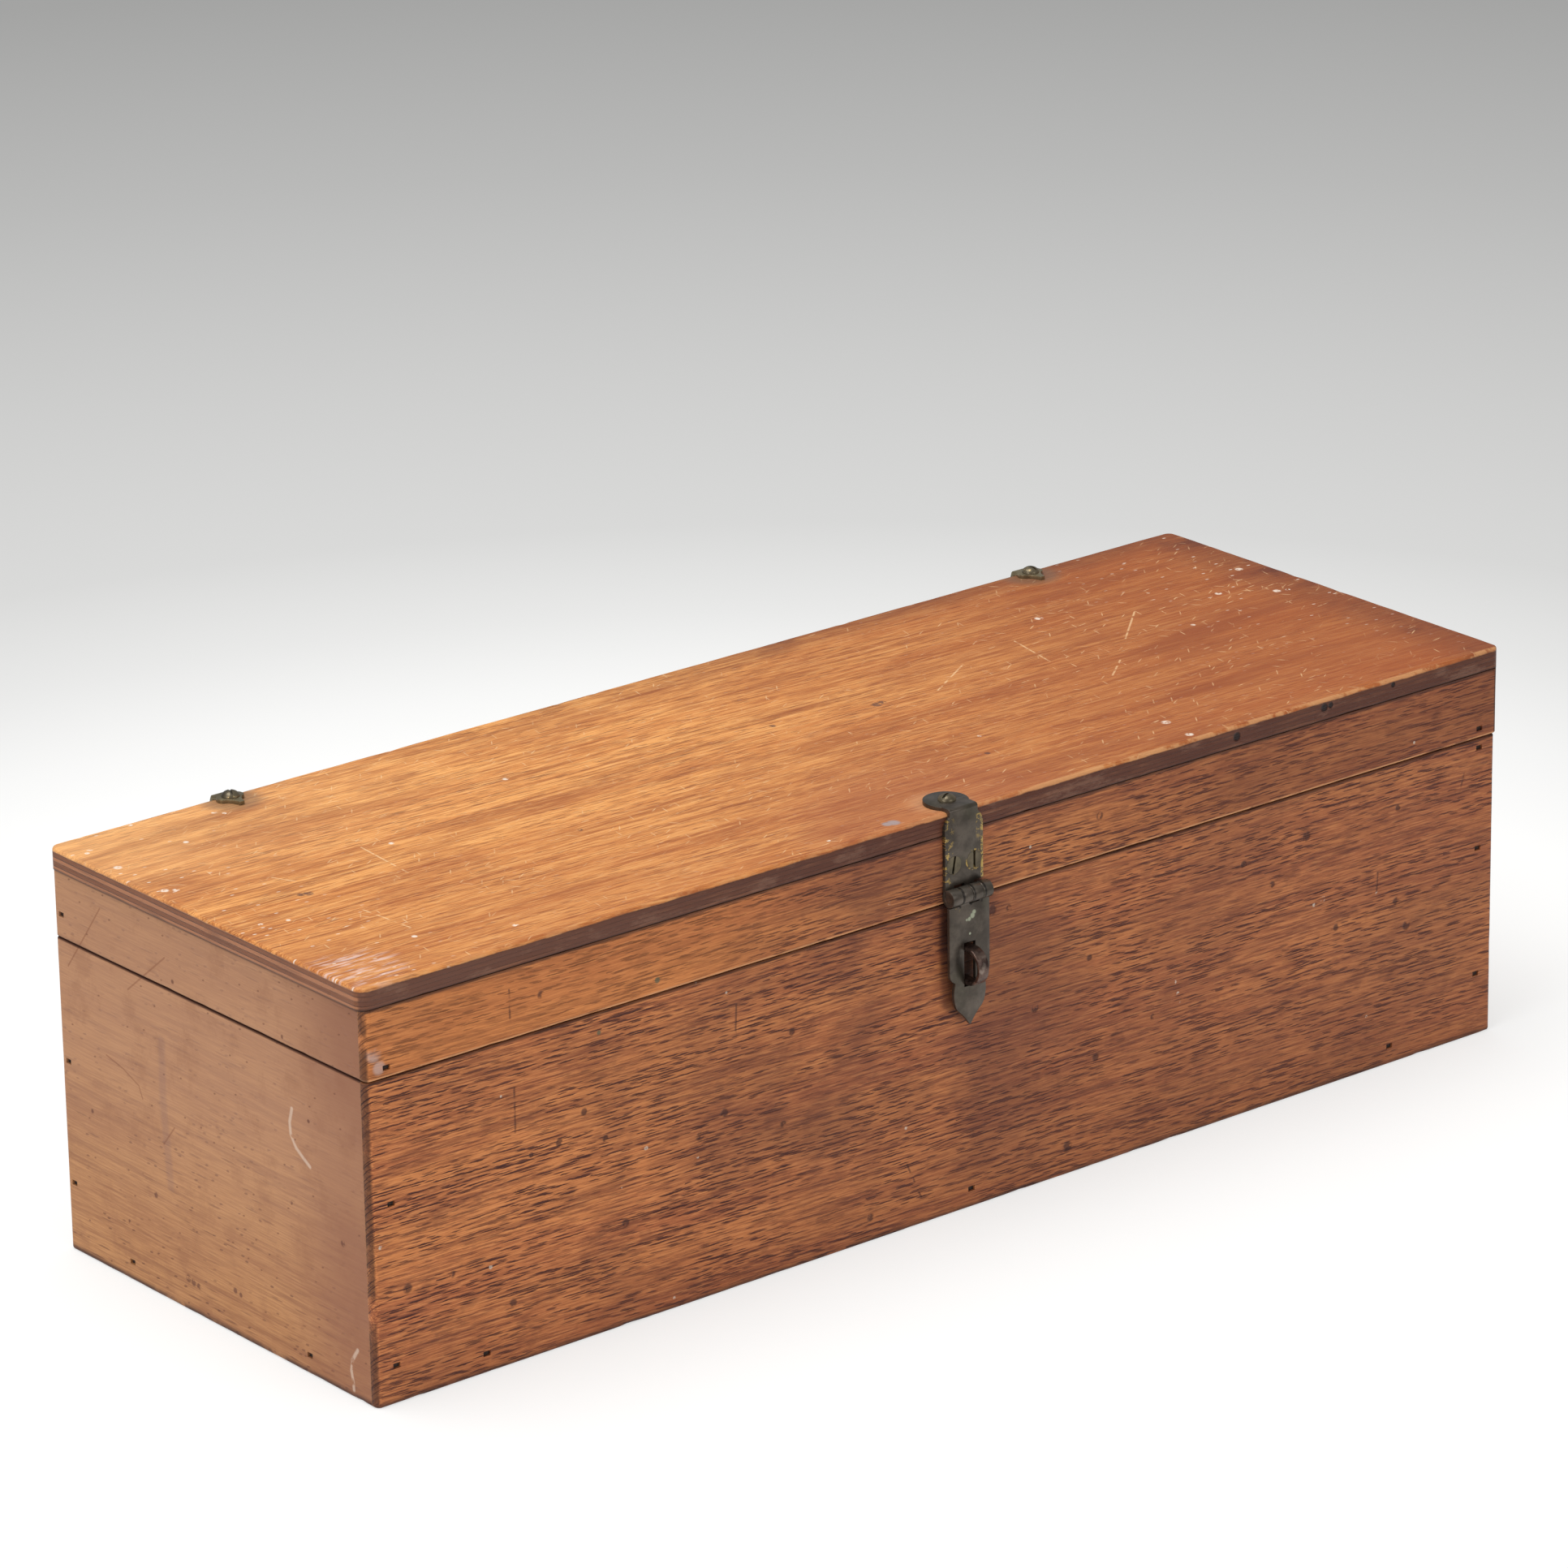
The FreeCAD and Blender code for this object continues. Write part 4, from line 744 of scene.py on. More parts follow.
def haspMarks(finish):
    # patina rubbed off along the strap's edges and round one screw, and dabs of paint on the leaf
    flat = finish.join(finish.x, finish.z)
    ragged = finish.clouds(finish.join(finish.x * 420, finish.z * 560), 1, 4, 0.75)
    onFace = finish.fade(finish.z, strapHigh.z - 1.5 * mm, strapHigh.z - 3 * mm)
    onFace = onFace * finish.fade(finish.z, 103.6 * mm, 104.4 * mm)
    left, right = strapLow.x + 1.3 * mm, strapHigh.x - 1.3 * mm
    leftEdge = finish.fade(finish.x, left + 3.4 * mm, left - 0.4 * mm) * finish.fade(ragged, 0.54, 0.58)
    rightEdge = finish.fade(finish.x, right - 1.6 * mm, right - 0.8 * mm) * finish.fade(ragged, 0.52, 0.57)
    rightEdge = rightEdge * finish.fade(finish.z, 114 * mm, 121 * mm)
    thinEdge = finish.fade(finish.x, right + 0.2 * mm, right + 0.6 * mm) * finish.fade(ragged, 0.4, 0.48)
    screwX, screwZ = haspSpots["screw"]
    screw = finish.vector("DISTANCE", flat, (screwX * mm, screwZ * mm, 0), output="Value")
    ring = finish.fade(screw, 3.4 * mm, 3.2 * mm) * finish.fade(ragged, 0.48, 0.56)
    gold = strongest([leftEdge, rightEdge, thinEdge, ring]) * onFace
    dabs = finish.blots(flat, haspSpots["dabs"])
    return gold * haspSpots["rubbed"], dabs * finish.fade(ragged, 0.32, 0.5)


stapleLooks = {"dark": (66, 50, 46), "grey": (112, 92, 82), "bright": (166, 150, 138), "rubbed": 0.5}
ironLooks = {"dark": (34, 27, 25), "rust": (66, 44, 34)}
baizeLooks = {"dark": (24, 60, 40), "light": (50, 98, 64), "worn": (66, 100, 74)}


def stapleFinish(name):
    finish = Finish(name)
    cloud = finish.clouds(finish.place, 320, 4, 0.65)
    tone = finish.mix(finish.fade(cloud, 0.35, 0.65), stapleLooks["dark"], stapleLooks["grey"])
    # the bright patches are partly rubbed metal and partly painted highlight
    bright = finish.patches(0.52, 0.66, 240, 2) * stapleLooks["rubbed"]
    tone = finish.mix(bright, tone, stapleLooks["bright"])
    return finish.surface(tone, 0.3 - bright * 0.1, cloud, 0.04 * mm, metallic=0.8)


def ironFinish(name):
    finish = Finish(name)
    rust = finish.clouds(finish.place, 1500, 3)
    tone = finish.mix(finish.fade(rust, 0.4, 0.6), ironLooks["dark"], ironLooks["rust"])
    return finish.surface(tone, 0.75, rust, 0.05 * mm, metallic=0.2)


def baizeFinish(name):
    finish = Finish(name)
    wool = finish.clouds(finish.place, 1800, 4, 0.7)
    felt = finish.clouds(finish.place, 240, 3)
    tone = finish.mix(finish.fade(wool, 0.35, 0.65), baizeLooks["dark"], baizeLooks["light"])
    tone = finish.mix(finish.fade(felt, 0.5, 0.7) * 0.3, tone, baizeLooks["worn"])
    sheen = {"Sheen Weight": 0.4, "Sheen Roughness": 0.5}
    return finish.surface(tone, 0.95, wool, 0.15 * mm, constants=sheen)


materials = {
    "front": boardFinish("oiledWoodFront", "front"),
    "back": boardFinish("oiledWoodBack", "back"),
    "left": endFinish("oiledWoodLeft", "left"),
    "right": endFinish("oiledWoodRight", "right"),
    "panel": panelFinish("plywoodPanel"),
    "plain": plainWood("plainWood", "top"),
    "saddle": plainWood("saddleWood", "y"),
    "brass": brassFinish("darkBrass", hingeLooks),
    "screws": brassFinish("screwBrass", screwLooks),
    "hasp": brassFinish("haspBrass", haspLooks, haspMarks),
    "staple": stapleFinish("stapleBrass"),
    "iron": ironFinish("nailIron"),
    "baize": baizeFinish("greenBaize"),
}
print("finishes:", len(materials))


# Pieces. Most are copies of the frame's solids, worked further.


merging = {"distance": 1e-6, "flatDegrees": 0.5}


def mergedCopy(node):
    worked = bmesh.new()
    worked.from_mesh(frame["nodes"][node].data)
    bmesh.ops.remove_doubles(worked, verts=worked.verts, dist=merging["distance"])
    flat = math.radians(merging["flatDegrees"])
    bmesh.ops.dissolve_limit(worked, angle_limit=flat, verts=worked.verts, edges=worked.edges)
    return worked


def addObject(name, data):
    made = bpy.data.objects.new(name, data)
    bpy.context.collection.objects.link(made)
    return made


def addPiece(mesh, name, finish, sharpness=35):
    piece = addObject(name, mesh)
    mesh.materials.clear()
    mesh.materials.append(materials[finish])
    mesh.shade_smooth()
    mesh.set_sharp_from_angle(angle=math.radians(sharpness))
    return piece


def finishPiece(worked, name, finish, sharpness=35):
    mesh = bpy.data.meshes.new(name)
    worked.to_mesh(mesh)
    worked.free()
    return addPiece(mesh, name, finish, sharpness)


def standFor(piece, *nodes):
    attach(piece, bodyOf[nodes[0]])
    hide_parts(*nodes)


# Boards, worn along their arrises


def cutAcross(worked, parts, axis, places):  # halves the work at each cut
    if not places:
        return
    middle = len(places) // 2
    normal = Vector((0, 0, 0))
    normal[axis] = 1
    place = places[middle]
    near = merging["distance"]
    plane = {"plane_co": normal * place, "plane_no": normal, "dist": near / 10}
    cut = bmesh.ops.bisect_plane(worked, geom=parts, **plane)
    below, above = [], []
    for part in cut["geom"]:
        verts = [part] if isinstance(part, bmesh.types.BMVert) else part.verts
        values = [vert.co[axis] for vert in verts]
        if max(values) <= place + near:
            below.append(part)
        if min(values) >= place - near:
            above.append(part)
    cutAcross(worked, below, axis, places[:middle])
    cutAcross(worked, above, axis, places[middle + 1 :])


def everything(worked):
    return [*worked.verts, *worked.edges, *worked.faces]


def steps(low, high, step):
    count = max(1, round((high - low) / step))
    return [low + (high - low) * index / count for index in range(1, count)]


# lengths of the waves along an arris and of its chips in millimetres, and how rare the chips are
wear = {"longWaves": 14, "shortWaves": 4.1, "chips": 7, "rareness": 0.3}


def rubArris(vert, low, high, arris, seed):
    first, firstSide, second, secondSide, radius, uneven, chips = arris
    corner = Vector(((high if firstSide else low)[first], (high if secondSide else low)[second]))
    inward = (-1 if firstSide else 1, -1 if secondSide else 1)
    u = (vert.co[first] - corner.x) * inward[0]
    v = (vert.co[second] - corner.y) * inward[1]
    if max(u, v) > (radius + chips) * 2 * mm:
        return
    along = vert.co[3 - first - second] / mm
    place = Vector((along, first * 7 + seed * 13, second * 5 + firstSide * 3 + secondSide))
    waves = noise.noise(place / wear["longWaves"]) + 0.5 * noise.noise(place / wear["shortWaves"])
    chip = max(0, noise.noise(place / wear["chips"] + Vector((9, 0, 0))) - wear["rareness"])
    size = (radius * (1 + uneven * waves) + chips * chip) * mm
    away = Vector((size - u, size - v))
    if u < size and v < size and away.length > size:
        away *= size / away.length
        vert.co[first] = corner.x + (size - away.x) * inward[0]
        vert.co[second] = corner.y + (size - away.y) * inward[1]


# An arris is the first axis and its side, the second axis and its side, then how far it is rubbed down in
# millimetres, how unevenly, and how deep its chips are
bodyCorner = (2.0, 0.1, 0)
foot = (0.9, 0.35, 1.6)
seamEdge = (0.5, 0.5, 1.2)
boards = {
    # node: finish, steps along the axes in millimetres, arrises
    "lid_panel": (
        "panel",
        (1.8, 3, None),
        [
            (1, 0, 2, 1, 1.3, 0.3, 2.2),
            (1, 1, 2, 1, 1.0, 0.25, 1.5),
            (0, 0, 2, 1, 0.9, 0.25, 1.5),
            (0, 1, 2, 1, 1.2, 0.3, 2.2),
            (1, 0, 2, 0, 0.4, 0.4, 1.2),
            (0, 0, 2, 0, 0.4, 0.4, 1.2),
        ],
    ),
    "body_front_board": (
        "front",
        (2.4, None, 5),
        [
            (1, 0, 2, 0, *foot),
            (1, 0, 2, 1, *seamEdge),
            (0, 0, 1, 0, *bodyCorner),
            (0, 1, 1, 0, *bodyCorner),
        ],
    ),
    "lid_front_rail": (
        "front",
        (2.4, None, 5),
        [(1, 0, 2, 0, *seamEdge), (0, 0, 1, 0, *bodyCorner), (0, 1, 1, 0, *bodyCorner)],
    ),
    "body_back_board": ("back", (3, None, None), [(1, 1, 2, 0, *foot), (1, 1, 2, 1, *seamEdge)]),
    "lid_back_rail": ("back", (3, None, None), [(1, 1, 2, 0, *seamEdge)]),
    "body_left_end": (
        "left",
        (None, 2.4, 5),
        [(0, 0, 2, 0, *foot), (0, 0, 2, 1, *seamEdge), (0, 0, 1, 1, *bodyCorner)],
    ),
    "lid_left_rail": ("left", (None, 2.4, 5), [(0, 0, 2, 0, *seamEdge), (0, 0, 1, 1, *bodyCorner)]),
    "body_right_end": (
        "right",
        (None, 2.4, 5),
        [(0, 1, 2, 0, *foot), (0, 1, 2, 1, *seamEdge), (0, 1, 1, 1, *bodyCorner)],
    ),
    "lid_right_rail": ("right", (None, 2.4, 5), [(0, 1, 2, 0, *seamEdge), (0, 1, 1, 1, *bodyCorner)]),
}
arrisDepths = (0.5, 1.0, 1.6, 2.4)  # extra cuts beside an arris


def addBoard(node, seed):
    finish, stepSizes, arrises = boards[node]
    low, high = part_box(node)
    worked = mergedCopy(node)
    for axis, side in sorted({(arris[index], arris[index + 1]) for arris in arrises for index in (0, 2)}):
        face = (high if side else low)[axis]
        places = sorted(face + (-1 if side else 1) * depth * mm for depth in arrisDepths)
        cutAcross(worked, everything(worked), axis, places)
    for axis, step in enumerate(stepSizes):
        if step:
            cutAcross(worked, everything(worked), axis, steps(low[axis], high[axis], step * mm))
    for vert in worked.verts:
        for arris in arrises:
            rubArris(vert, low, high, arris, seed)
    standFor(finishPiece(worked, f"worn_{node}", finish), node)


for seed, node in enumerate(boards):
    addBoard(node, seed)
print("boards:", len(boards))


# Brass plates and blocks with their edges softened. The two upper leaves are also narrowed to their tabs.

# how much narrower and how much shorter than the solid, as shares, and over how many millimetres it narrows
tab = {"narrower": 0.3, "shorter": 0.2, "neck": 4}
softening = {"fromDegrees": 28, "segments": 2, "profile": 0.5, "smoothTo": 50}


def narrowTab(worked, low, high):
    centre = (low.x + high.x) / 2
    screw = sum(corner.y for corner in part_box("hinge_tab_screws")) / 2
    for vert in worked.verts:
        share = min(1, max(0, (vert.co.z - panelTop) / (tab["neck"] * mm) + 1))
        vert.co.x = centre + (vert.co.x - centre) * (1 - tab["narrower"] * share)
        if vert.co.y < screw and vert.co.z > panelTop - mm:
            vert.co.y = screw + (vert.co.y - screw) * (1 - tab["shorter"])


def addSoftened(node, finish, softness):
    worked = mergedCopy(node)
    if "upper_leaf" in node:
        narrowTab(worked, *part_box(node))
    least = math.radians(softening["fromDegrees"])
    sharp = [edge for edge in worked.edges if len(edge.link_faces) == 2 and edge.calc_face_angle() > least]
    bmesh.ops.bevel(
        worked,
        geom=sharp,
        offset=softness * mm,
        offset_type="OFFSET",
        segments=softening["segments"],
        profile=softening["profile"],
        affect="EDGES",
        clamp_overlap=True,
    )
    standFor(finishPiece(worked, f"softened_{node}", finish, softening["smoothTo"]), node)


plates = {
    # node: finish, how wide the softened edge is in millimetres
    "hasp_strap": ("hasp", 0.22),
    "hasp_leaf": ("hasp", 0.22),
    "staple": ("staple", 0.3),
    "hinge_upper_leaf_left": ("brass", 0.2),
    "hinge_upper_leaf_right": ("brass", 0.2),
    "hinge_lower_leaf_left": ("brass", 0.2),
    "hinge_lower_leaf_right": ("brass", 0.2),
    "lid_block_left": ("plain", 0.8),
    "lid_block_right": ("plain", 0.8),
    "saddle_left": ("saddle", 0.6),
    "saddle_right": ("saddle", 0.6),
}
for node, (finish, softness) in plates.items():
    addSoftened(node, finish, softness)
slotFinishes = {
    "oiled_wood": "front",
    "plywood": "panel",
    "plain_wood": "plain",
    "dark_brass": "brass",
    "nail_iron": "iron",
    "baize": "baize",
}
for node, slot in slotOf.items():  # the pins and the bottom keep the shapes that the frame has for them
    mesh = frame["nodes"][node].data
    mesh.materials.clear()
    mesh.materials.append(materials["hasp" if node == "hasp_pin" else slotFinishes[slot]])
print("plates and blocks:", len(plates))


# Screws and nails. One of each kind is made in Geometry Nodes and set wherever the frame has one.

sides = {"cone": 28, "dome": 32, "domeRings": 20, "stem": 12}


def separateBoxes(node):
    worked = mergedCopy(node)
    left = set(worked.verts)
    while left:
        island, edge = set(), [left.pop()]
        while edge:
            vert = edge.pop()
            island.add(vert)
            edge.extend(link.other_vert(vert) for link in vert.link_edges if link.other_vert(vert) in left)
            left.difference_update(edge)
        corners = [vert.co.copy() for vert in island]
        low = Vector([min(corner[axis] for corner in corners) for axis in range(3)])
        high = Vector([max(corner[axis] for corner in corners) for axis in range(3)])
        yield low, high
    worked.free()


def spotsOf(node, twists):  # where each head's top is, and how it is turned
    boxes = sorted(separateBoxes(node), key=lambda box: (round(box[0].x, 4), round(box[0].z, 4)))
    for index, (low, high) in enumerate(boxes):
        size = high - low
        axis = max(range(3), key=lambda each: size[each])
        outward = Vector((0, 0, 0))
        spot = (low + high) / 2
        outward[axis] = 1 if axis == 2 or spot[axis] > 0 else -1
        spot[axis] = (high if outward[axis] > 0 else low)[axis]
        upward = Vector((0, 1, 0)) if axis == 2 else Vector((0, 0, 1))
        turned = Matrix((upward.cross(outward), upward, outward)).transposed()
        twist = Matrix.Rotation(math.radians(twists[index % len(twists)]), 3, "Z")
        yield spot, (turned @ twist).to_euler()


class Head(Tree):
    def __init__(self, name, sizes):
        group = bpy.data.node_groups.new(name, "GeometryNodeTree")
        super().__init__(group)
        group.interface.new_socket("Geometry", in_out="OUTPUT", socket_type="NodeSocketGeometry")
        group.interface.new_socket("Spots", in_out="INPUT", socket_type="NodeSocketGeometry")
        for size in sizes:
            group.interface.new_socket(size, in_out="INPUT", socket_type="NodeSocketFloat")
        self.given = self.node("NodeGroupInput")

    def point(self, x=0, y=0, z=0):
        return self.node("ShaderNodeCombineXYZ", None, (x, y, z))

    def move(self, shape, z):
        return self.node("GeometryNodeTransform", None, {"Geometry": shape, "Translation": self.point(z=z)})

    def cylinder(self, radius, top, depth):
        inputs = {"Vertices": sides["stem"], "Radius": radius, "Depth": depth}
        return self.move(self.node("GeometryNodeMeshCylinder", None, inputs), top - depth / 2)

    def block(self, width, thickness, top, depth):
        cube = self.node("GeometryNodeMeshCube", None, {"Size": self.point(width, thickness, depth)})
        return self.move(cube, top - depth / 2)

    def slotted(self, shape, top):
        width, depth = self.given.other("Slot Width"), self.given.other("Slot Depth")
        cut = self.block(width, self.given.other("Head Radius") * 3, top + depth, depth * 2)
        settings = {"operation": "DIFFERENCE", "solver": "EXACT"}
        return self.node("GeometryNodeMeshBoolean", settings, {"Mesh 1": shape, "Mesh 2": cut})

    def sizes(self, *names):
        return (self.given.other(name) for name in names)

    def finishWith(self, shapes, material):
        whole = self.node("GeometryNodeJoinGeometry", None, {"Geometry": shapes})
        kind = {"data_type": "FLOAT_VECTOR"}
        turned = self.node("GeometryNodeInputNamedAttribute", kind, {"Name": "turned"})
        rotation = self.node("FunctionNodeEulerToRotation", None, (turned,))
        inputs = {"Points": self.given.other("Spots"), "Instance": whole, "Rotation": rotation}
        placed = self.node("GeometryNodeInstanceOnPoints", None, inputs)
        real = self.node("GeometryNodeRealizeInstances", None, {"Geometry": placed})
        painted = self.node("GeometryNodeSetMaterial", None, {"Geometry": real, "Material": material})
        self.node("NodeGroupOutput", None, (painted,))
        return self.nodeTree


def flatScrewTree(sizes):
    head = Head("flatScrew", sizes)
    radius, shank, rise, length = head.sizes("Head Radius", "Shank Radius", "Head Height", "Length")
    inputs = {"Vertices": sides["cone"], "Radius Top": radius, "Radius Bottom": shank, "Depth": rise}
    cone = head.move(head.node("GeometryNodeMeshCone", None, inputs), rise * -1)
    stem = head.cylinder(shank, rise * -1, length - rise)
    return head.finishWith([head.slotted(cone, 0), stem], materials["screws"])


def domeScrewTree(sizes):
    head = Head("domeScrew", sizes)
    radius, shank, rise, length = head.sizes("Head Radius", "Shank Radius", "Head Height", "Length")
    inputs = {"Segments": sides["dome"], "Rings": sides["domeRings"], "Radius": radius}
    ball = head.node("GeometryNodeMeshUVSphere", None, inputs)
    flatter = head.point(1, 1, rise / radius)
    inputs = {"Geometry": ball, "Translation": head.point(z=rise * -1), "Scale": flatter}
    dome = head.node("GeometryNodeTransform", None, inputs)
    stem = head.cylinder(shank, rise * -1, length)
    return head.finishWith([head.slotted(dome, 0), stem], materials["screws"])


def bradTree(sizes):
    head = Head("brad", sizes)
    width, thickness, rise = head.sizes("Head Width", "Thickness", "Head Height")
    shankWidth, length = head.sizes("Shank Width", "Length")
    top = head.block(width, thickness, 0, rise)
    shank = head.block(shankWidth, thickness * 0.9, rise * -1, length - rise)
    return head.finishWith([top, shank], materials["iron"])


screwSizes = {"Shank Radius": 1.3, "Slot Width": 0.8, "Slot Depth": 0.8}
heads = {
    # kind: tree, sizes in millimetres
    "flatScrew": (flatScrewTree, {"Head Radius": 2.78, "Head Height": 1.2, "Length": 9, **screwSizes}),
    "domeScrew": (domeScrewTree, {"Head Radius": 2.75, "Head Height": 1.9, "Length": 12, **screwSizes}),
    "brad": (
        bradTree,
        {"Head Width": 2.3, "Thickness": 1.4, "Head Height": 1.1, "Shank Width": 1.4, "Length": 25},
    ),
}
headTrees = {kind: makeTree(sizes) for kind, (makeTree, sizes) in heads.items()}

fasteners = {
    # piece: kind, nodes with the twist of their slots in degrees
    "case_screws": ("flatScrew", {"hinge_lower_screws": (-50, 15, -10, 40)}),
    "case_brads": ("brad", {"front_corner_nails": (0,), "end_corner_nails": (0,), "bottom_nails": (0,)}),
    "lid_screws": ("flatScrew", {"hasp_strap_screws": (-11, 0), "hinge_upper_screws": (35, -20, 5, 70)}),
    "lid_domes": ("domeScrew", {"hasp_tab_screw": (-70,), "hinge_tab_screws": (-26, 15)}),
    "lid_brads": ("brad", {"lid_front_nails": (0,), "lid_end_nails": (0,)}),
}


def addFasteners(name):
    kind, nodes = fasteners[name]
    spots = [spot for node, twists in nodes.items() for spot in spotsOf(node, twists)]
    mesh = bpy.data.meshes.new(f"{name}_spots")
    mesh.from_pydata([spot for spot, turned in spots], [], [])
    attribute = mesh.attributes.new("turned", "FLOAT_VECTOR", "POINT")
    attribute.data.foreach_set("vector", [angle for spot, turned in spots for angle in turned])
    maker = addObject(f"{name}_maker", mesh)
    modifier = maker.modifiers.new("heads", "NODES")
    modifier.node_group = headTrees[kind]
    sizes = heads[kind][1]
    for socket in headTrees[kind].interface.items_tree:
        if socket.name in sizes:
            modifier[socket.identifier] = sizes[socket.name] * mm
    made = bpy.data.meshes.new_from_object(maker.evaluated_get(bpy.context.evaluated_depsgraph_get()))
    finish = "iron" if kind == "brad" else "screws"
    bpy.data.objects.remove(maker)
    made.name = name
    standFor(addPiece(made, name, finish), *nodes)


for name in fasteners:
    addFasteners(name)
print("fasteners:", len(fasteners))


# Baize: linings laid over the saddles' seats, and pads on the lid's blocks

linings = {
    # seat width, depth and corner radius in millimetres
    "saddle_lining_left": (66, 34, 13),
    "saddle_lining_right": (44, 26, 13),
}
baize = {
    # in millimetres, but for the counts
    "thickness": 1.9,
    "gap": 0.25,
    "overlap": 9,
    "trimmed": 0.4,
    "unevenness": 0.22,
    "pressed": 0.12,
    "step": 1.6,
    "arcSteps": 8,
    "acrossSteps": 8,
    "smoothTo": 60,
}


def seatPath(width, depth, radius, top):  # from one overlap round the seat to the other, in the YZ plane
    away = baize["gap"]
    half = width / 2 - away
    curve = radius - away
    arcTop = top - depth + radius
    corners = [(-width / 2 - baize["overlap"], top + away), (-half, top + away), (-half, arcTop)]
    for step in range(1, baize["arcSteps"] + 1):
        angle = math.pi / 2 * step / baize["arcSteps"]
        corners.append((-half + curve * (1 - math.cos(angle)), arcTop - curve * math.sin(angle)))
    corners += [(-y, z) for y, z in reversed(corners)]
    points = []
    for (y0, z0), (y1, z1) in zip(corners, corners[1:]):
        count = max(1, round(math.dist((y0, z0), (y1, z1)) / baize["step"]))
        for share in range(count):
            points.append(Vector((y0 + (y1 - y0) * share / count, z0 + (z1 - z0) * share / count)))
    return points + [Vector(corners[-1])]


def sheetSection(width, thickness):  # a strip's section, across and up, with rounded cut edges
    half, soft = width / 2, thickness * 0.35
    count = baize["acrossSteps"]
    inner = [half - soft - (width - 2 * soft) * share / count for share in range(count + 1)]
    lower = [(-across, 0) for across in inner]
    upper = [(across, thickness) for across in inner]
    rightCut = [(half, soft), (half, thickness - soft)]
    leftCut = [(-half, thickness - soft), (-half, soft)]
    return [*lower, *rightCut, *upper, *leftCut]


def addLining(node):
    low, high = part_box(node)
    saddle = node.replace("lining_", "")
    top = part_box(saddle)[1].z / mm
    middle = (low + high) / 2
    path = seatPath(*linings[node], top)
    section = sheetSection((high - low).x / mm - baize["trimmed"], baize["thickness"])
    worked = bmesh.new()
    rings = []
    for index, point in enumerate(path):
        before, after = path[max(index - 1, 0)], path[min(index + 1, len(path) - 1)]
        run = (after - before).normalized()
        up = Vector((-run.y, run.x))
        ring = []
        for across, rise in section:
            felt = noise.noise(Vector((across / 5, index / 4, 3 + middle.x * 50)))
            lift = rise + (felt * baize["unevenness"] - baize["pressed"] if rise > 0 else 0)
            reach = across * (1 + 0.02 * noise.noise(Vector((index / 3, 7, middle.x * 40))))
            y = middle.y / mm + point.x + up.x * lift
            spot = Vector((middle.x / mm + reach, y, point.y + up.y * lift))
            ring.append(worked.verts.new(spot * mm))
        rings.append(ring)
    for ring, following in zip(rings, rings[1:]):
        for index in range(len(ring)):
            near = (index + 1) % len(ring)
            worked.faces.new((ring[index], ring[near], following[near], following[index]))
    worked.faces.new(reversed(rings[0]))
    worked.faces.new(rings[-1])
    bmesh.ops.recalc_face_normals(worked, faces=worked.faces)
    length = sum((after - before).length for before, after in zip(path, path[1:]))
    lining = finishPiece(worked, f"baize_{node}", "baize", baize["smoothTo"])
    standFor(lining, node)


padFace = {"edge": 1.2, "rounding": 0.6, "lift": 0.15, "nap": 0.12}


def addPad(node):
    low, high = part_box(node)
    worked = mergedCopy(node)
    for axis in range(2):
        cutAcross(worked, everything(worked), axis, steps(low[axis], high[axis], baize["step"] * mm))
    for vert in worked.verts:
        inset = min(vert.co.x - low.x, high.x - vert.co.x, vert.co.y - low.y, high.y - vert.co.y) / mm
        felt = noise.noise(vert.co / (5 * mm)) + 0.5 * noise.noise(vert.co / (2 * mm))
        if vert.co.z < (low.z + high.z) / 2:
            edge = max(0, 1 - inset / padFace["edge"])
            vert.co.z += (padFace["lift"] + padFace["nap"] * felt + padFace["rounding"] * edge * edge) * mm
    pad = finishPiece(worked, f"baize_{node}", "baize", baize["smoothTo"])
    standFor(pad, node)


for node in linings:
    addLining(node)
for node in ("lid_pad_left", "lid_pad_right"):
    addPad(node)
print("baize pieces:", len(linings) + 2)


# Floor, light and camera

stage = {
    "floorSize": 16.0,
    # how far from the case's middle, and how light the floor is there: a painted pool of light round the
    # case
    "shades": [
        (0.34, 254), (0.42, 243), (0.5, 228), (0.6, 213), (0.8, 203), (1.1, 185), (1.45, 166), (2.4, 152),
    ],
    "shadowShare": 0.4,
    "skyShade": 158,
    "skyStrength": 0.55,
}


def showBackground(tree, lit, shown, share):
    # camera and mirror rays see mostly the shade itself, so that the backdrop needs no extra light
    path = tree.node("ShaderNodeLightPath", output="Is Camera Ray")
    seen = path | path.other("Is Glossy Ray")
    return tree.node("ShaderNodeMixShader", None, (seen * share, lit, shown))


def floorFinish():
    finish = Finish("paleFloor")
    distance = finish.vector("LENGTH", finish.place, output="Value")
    reach = stage["shades"][-1][0]
    # the floor's shade, lightest round the case and greyer further off, is a painted pool of light
    stops = [(radius / reach, paint(shade, shade, shade - 1)) for radius, shade in stage["shades"]]
    shade = finish.node("ShaderNodeValToRGB", {"stops": stops}, (distance / reach,))
    lit = finish.node("ShaderNodeBsdfDiffuse", None, {"Color": shade})
    shown = finish.node("ShaderNodeEmission", None, {"Color": shade})
    shader = showBackground(finish, lit, shown, 1 - stage["shadowShare"])
    finish.node("ShaderNodeOutputMaterial", None, {"Surface": shader})
    return finish.material


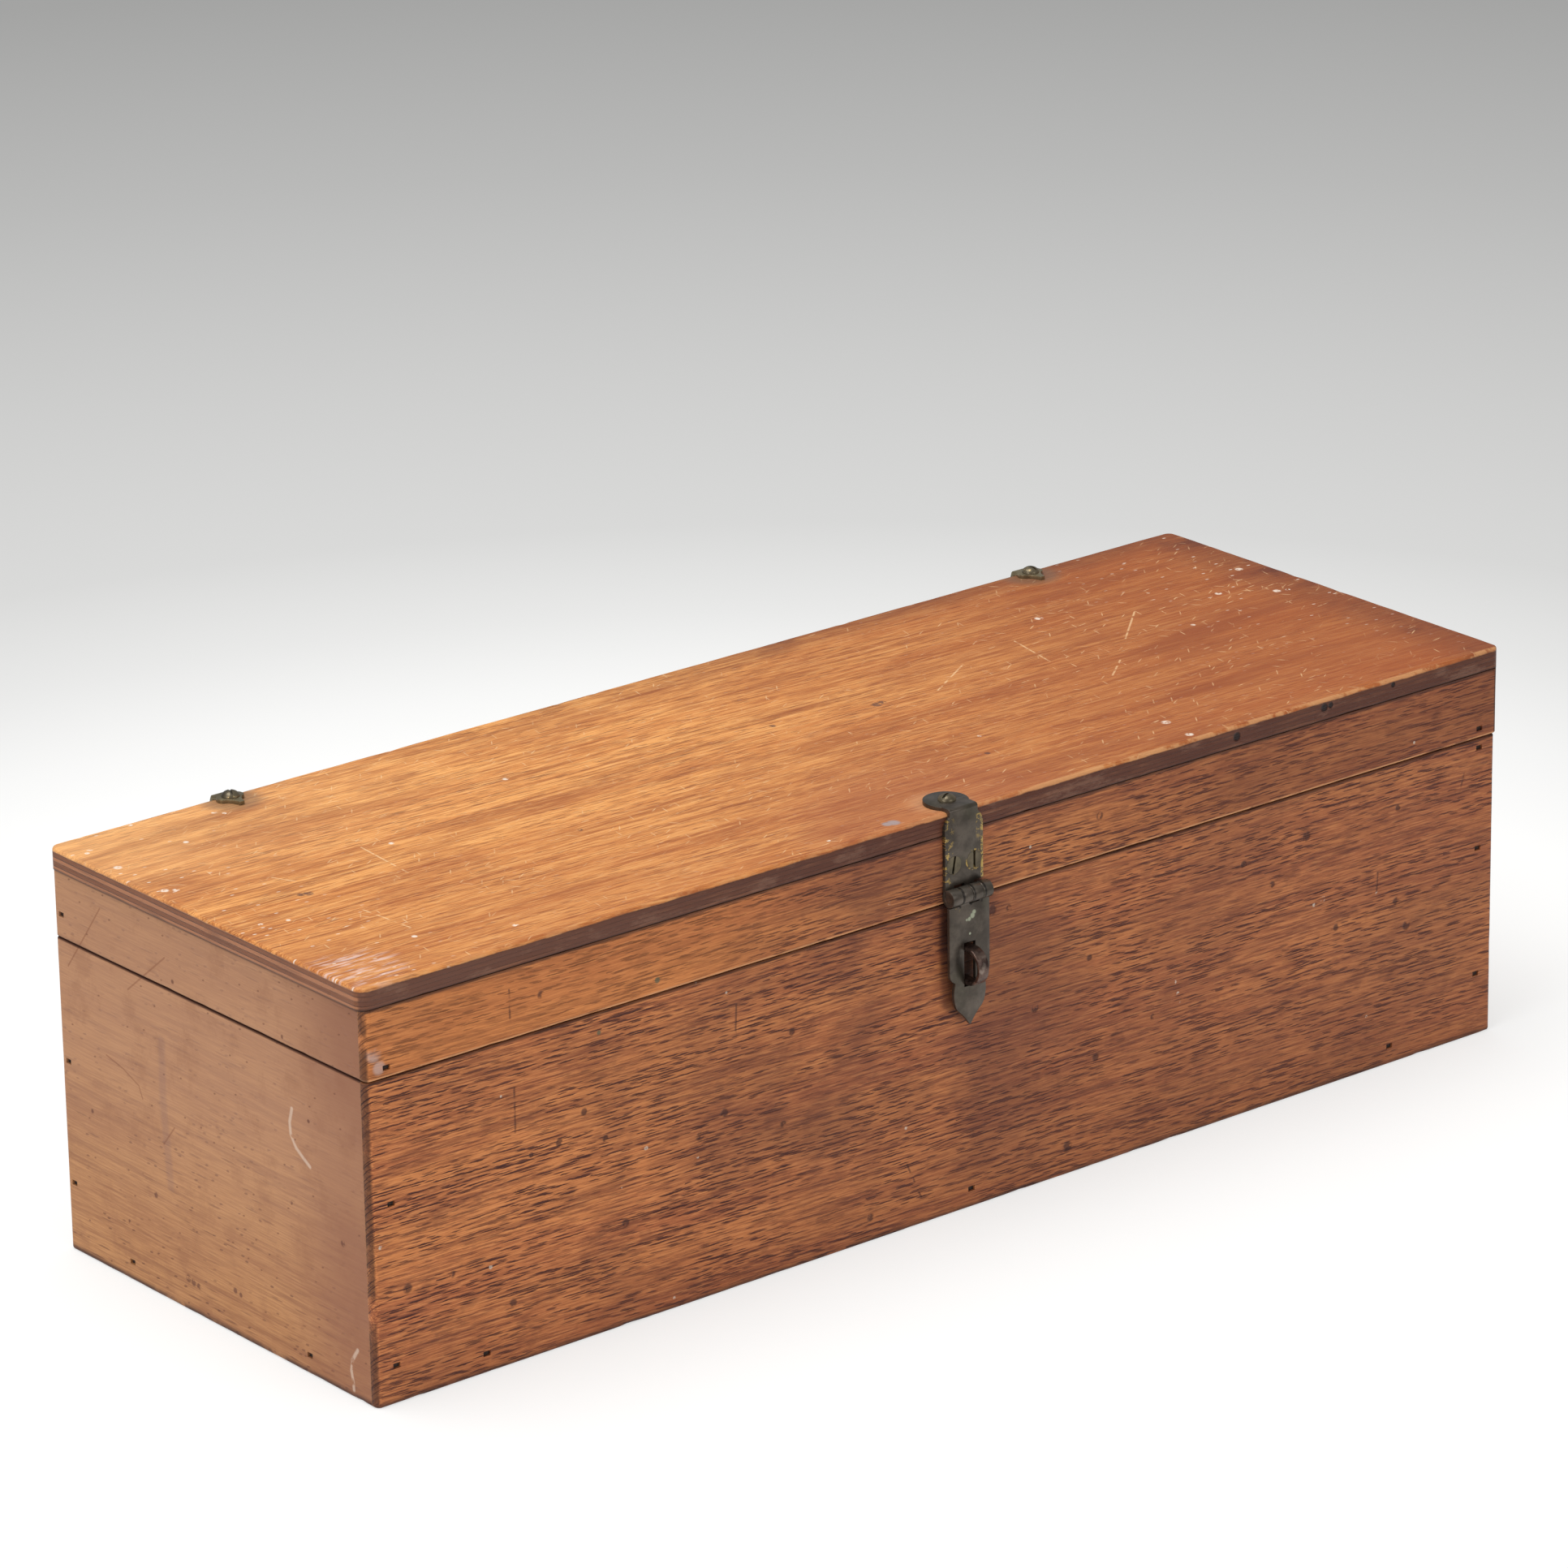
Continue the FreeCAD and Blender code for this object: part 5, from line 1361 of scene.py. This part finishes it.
def addFloor():
    half = stage["floorSize"] / 2
    mesh = bpy.data.meshes.new("floor")
    corners = [(-half, -half, 0), (half, -half, 0), (half, half, 0), (-half, half, 0)]
    mesh.from_pydata(corners, [], [(0, 1, 2, 3)])
    floor = addObject("floor", mesh)
    mesh.materials.append(floorFinish())


def setWorld():
    world = bpy.data.worlds.new("studio")
    world.use_nodes = True
    bpy.context.scene.world = world
    tree = Tree(world.node_tree)
    white = {"Color": (1, 1, 1, 1), "Strength": stage["skyStrength"]}
    light = tree.node("ShaderNodeBackground", None, white)
    shade = stage["skyShade"]
    shown = tree.node("ShaderNodeBackground", None, {"Color": paint(shade, shade, shade)})
    tree.node("ShaderNodeOutputWorld", None, {"Surface": showBackground(tree, light, shown, 1)})


lamps = {
    # name: place, aim, width, height, watts
    "softboxAbove": ((-0.5, 0.3, 2.4), (0, 0, 0), 1.8, 1.8, 38),
    "softboxLeft": ((-2.2, -0.5, 1.1), (0, 0, 0.05), 1.4, 1.2, 14),
    "fillFront": ((0.6, -2.4, 1.2), (0, 0, 0.05), 1.4, 1.2, 8),
}


def addLamps():
    for name, (place, aim, width, height, watts) in lamps.items():
        data = bpy.data.lights.new(name, "AREA")
        data.shape = "RECTANGLE"
        data.size = width
        data.size_y = height
        data.energy = watts
        lamp = addObject(name, data)
        lamp.location = place
        lamp.rotation_euler = (Vector(aim) - Vector(place)).to_track_quat("-Z", "Y").to_euler()


photographer = {
    "place": (-1.35495, -1.66882, 0.89609),
    "aim": (0.19273, 0.24447, 0.0),
    "roll": -0.927,
    "lens": 176.107,
    "sensor": 36.0,
}


def addCamera():
    data = bpy.data.cameras.new("camera")
    data.sensor_width = photographer["sensor"]
    data.lens = photographer["lens"]
    camera = addObject("camera", data)
    place = Vector(photographer["place"])
    look = (Vector(photographer["aim"]) - place).to_track_quat("-Z", "Y").to_matrix().to_4x4()
    roll = Matrix.Rotation(math.radians(photographer["roll"]), 4, "Z")
    camera.matrix_world = Matrix.Translation(place) @ look @ roll
    bpy.context.scene.camera = camera


addFloor()
setWorld()
addLamps()
addCamera()
bpy.context.scene.view_settings.view_transform = "Standard"
print("stage, lamps and camera set")
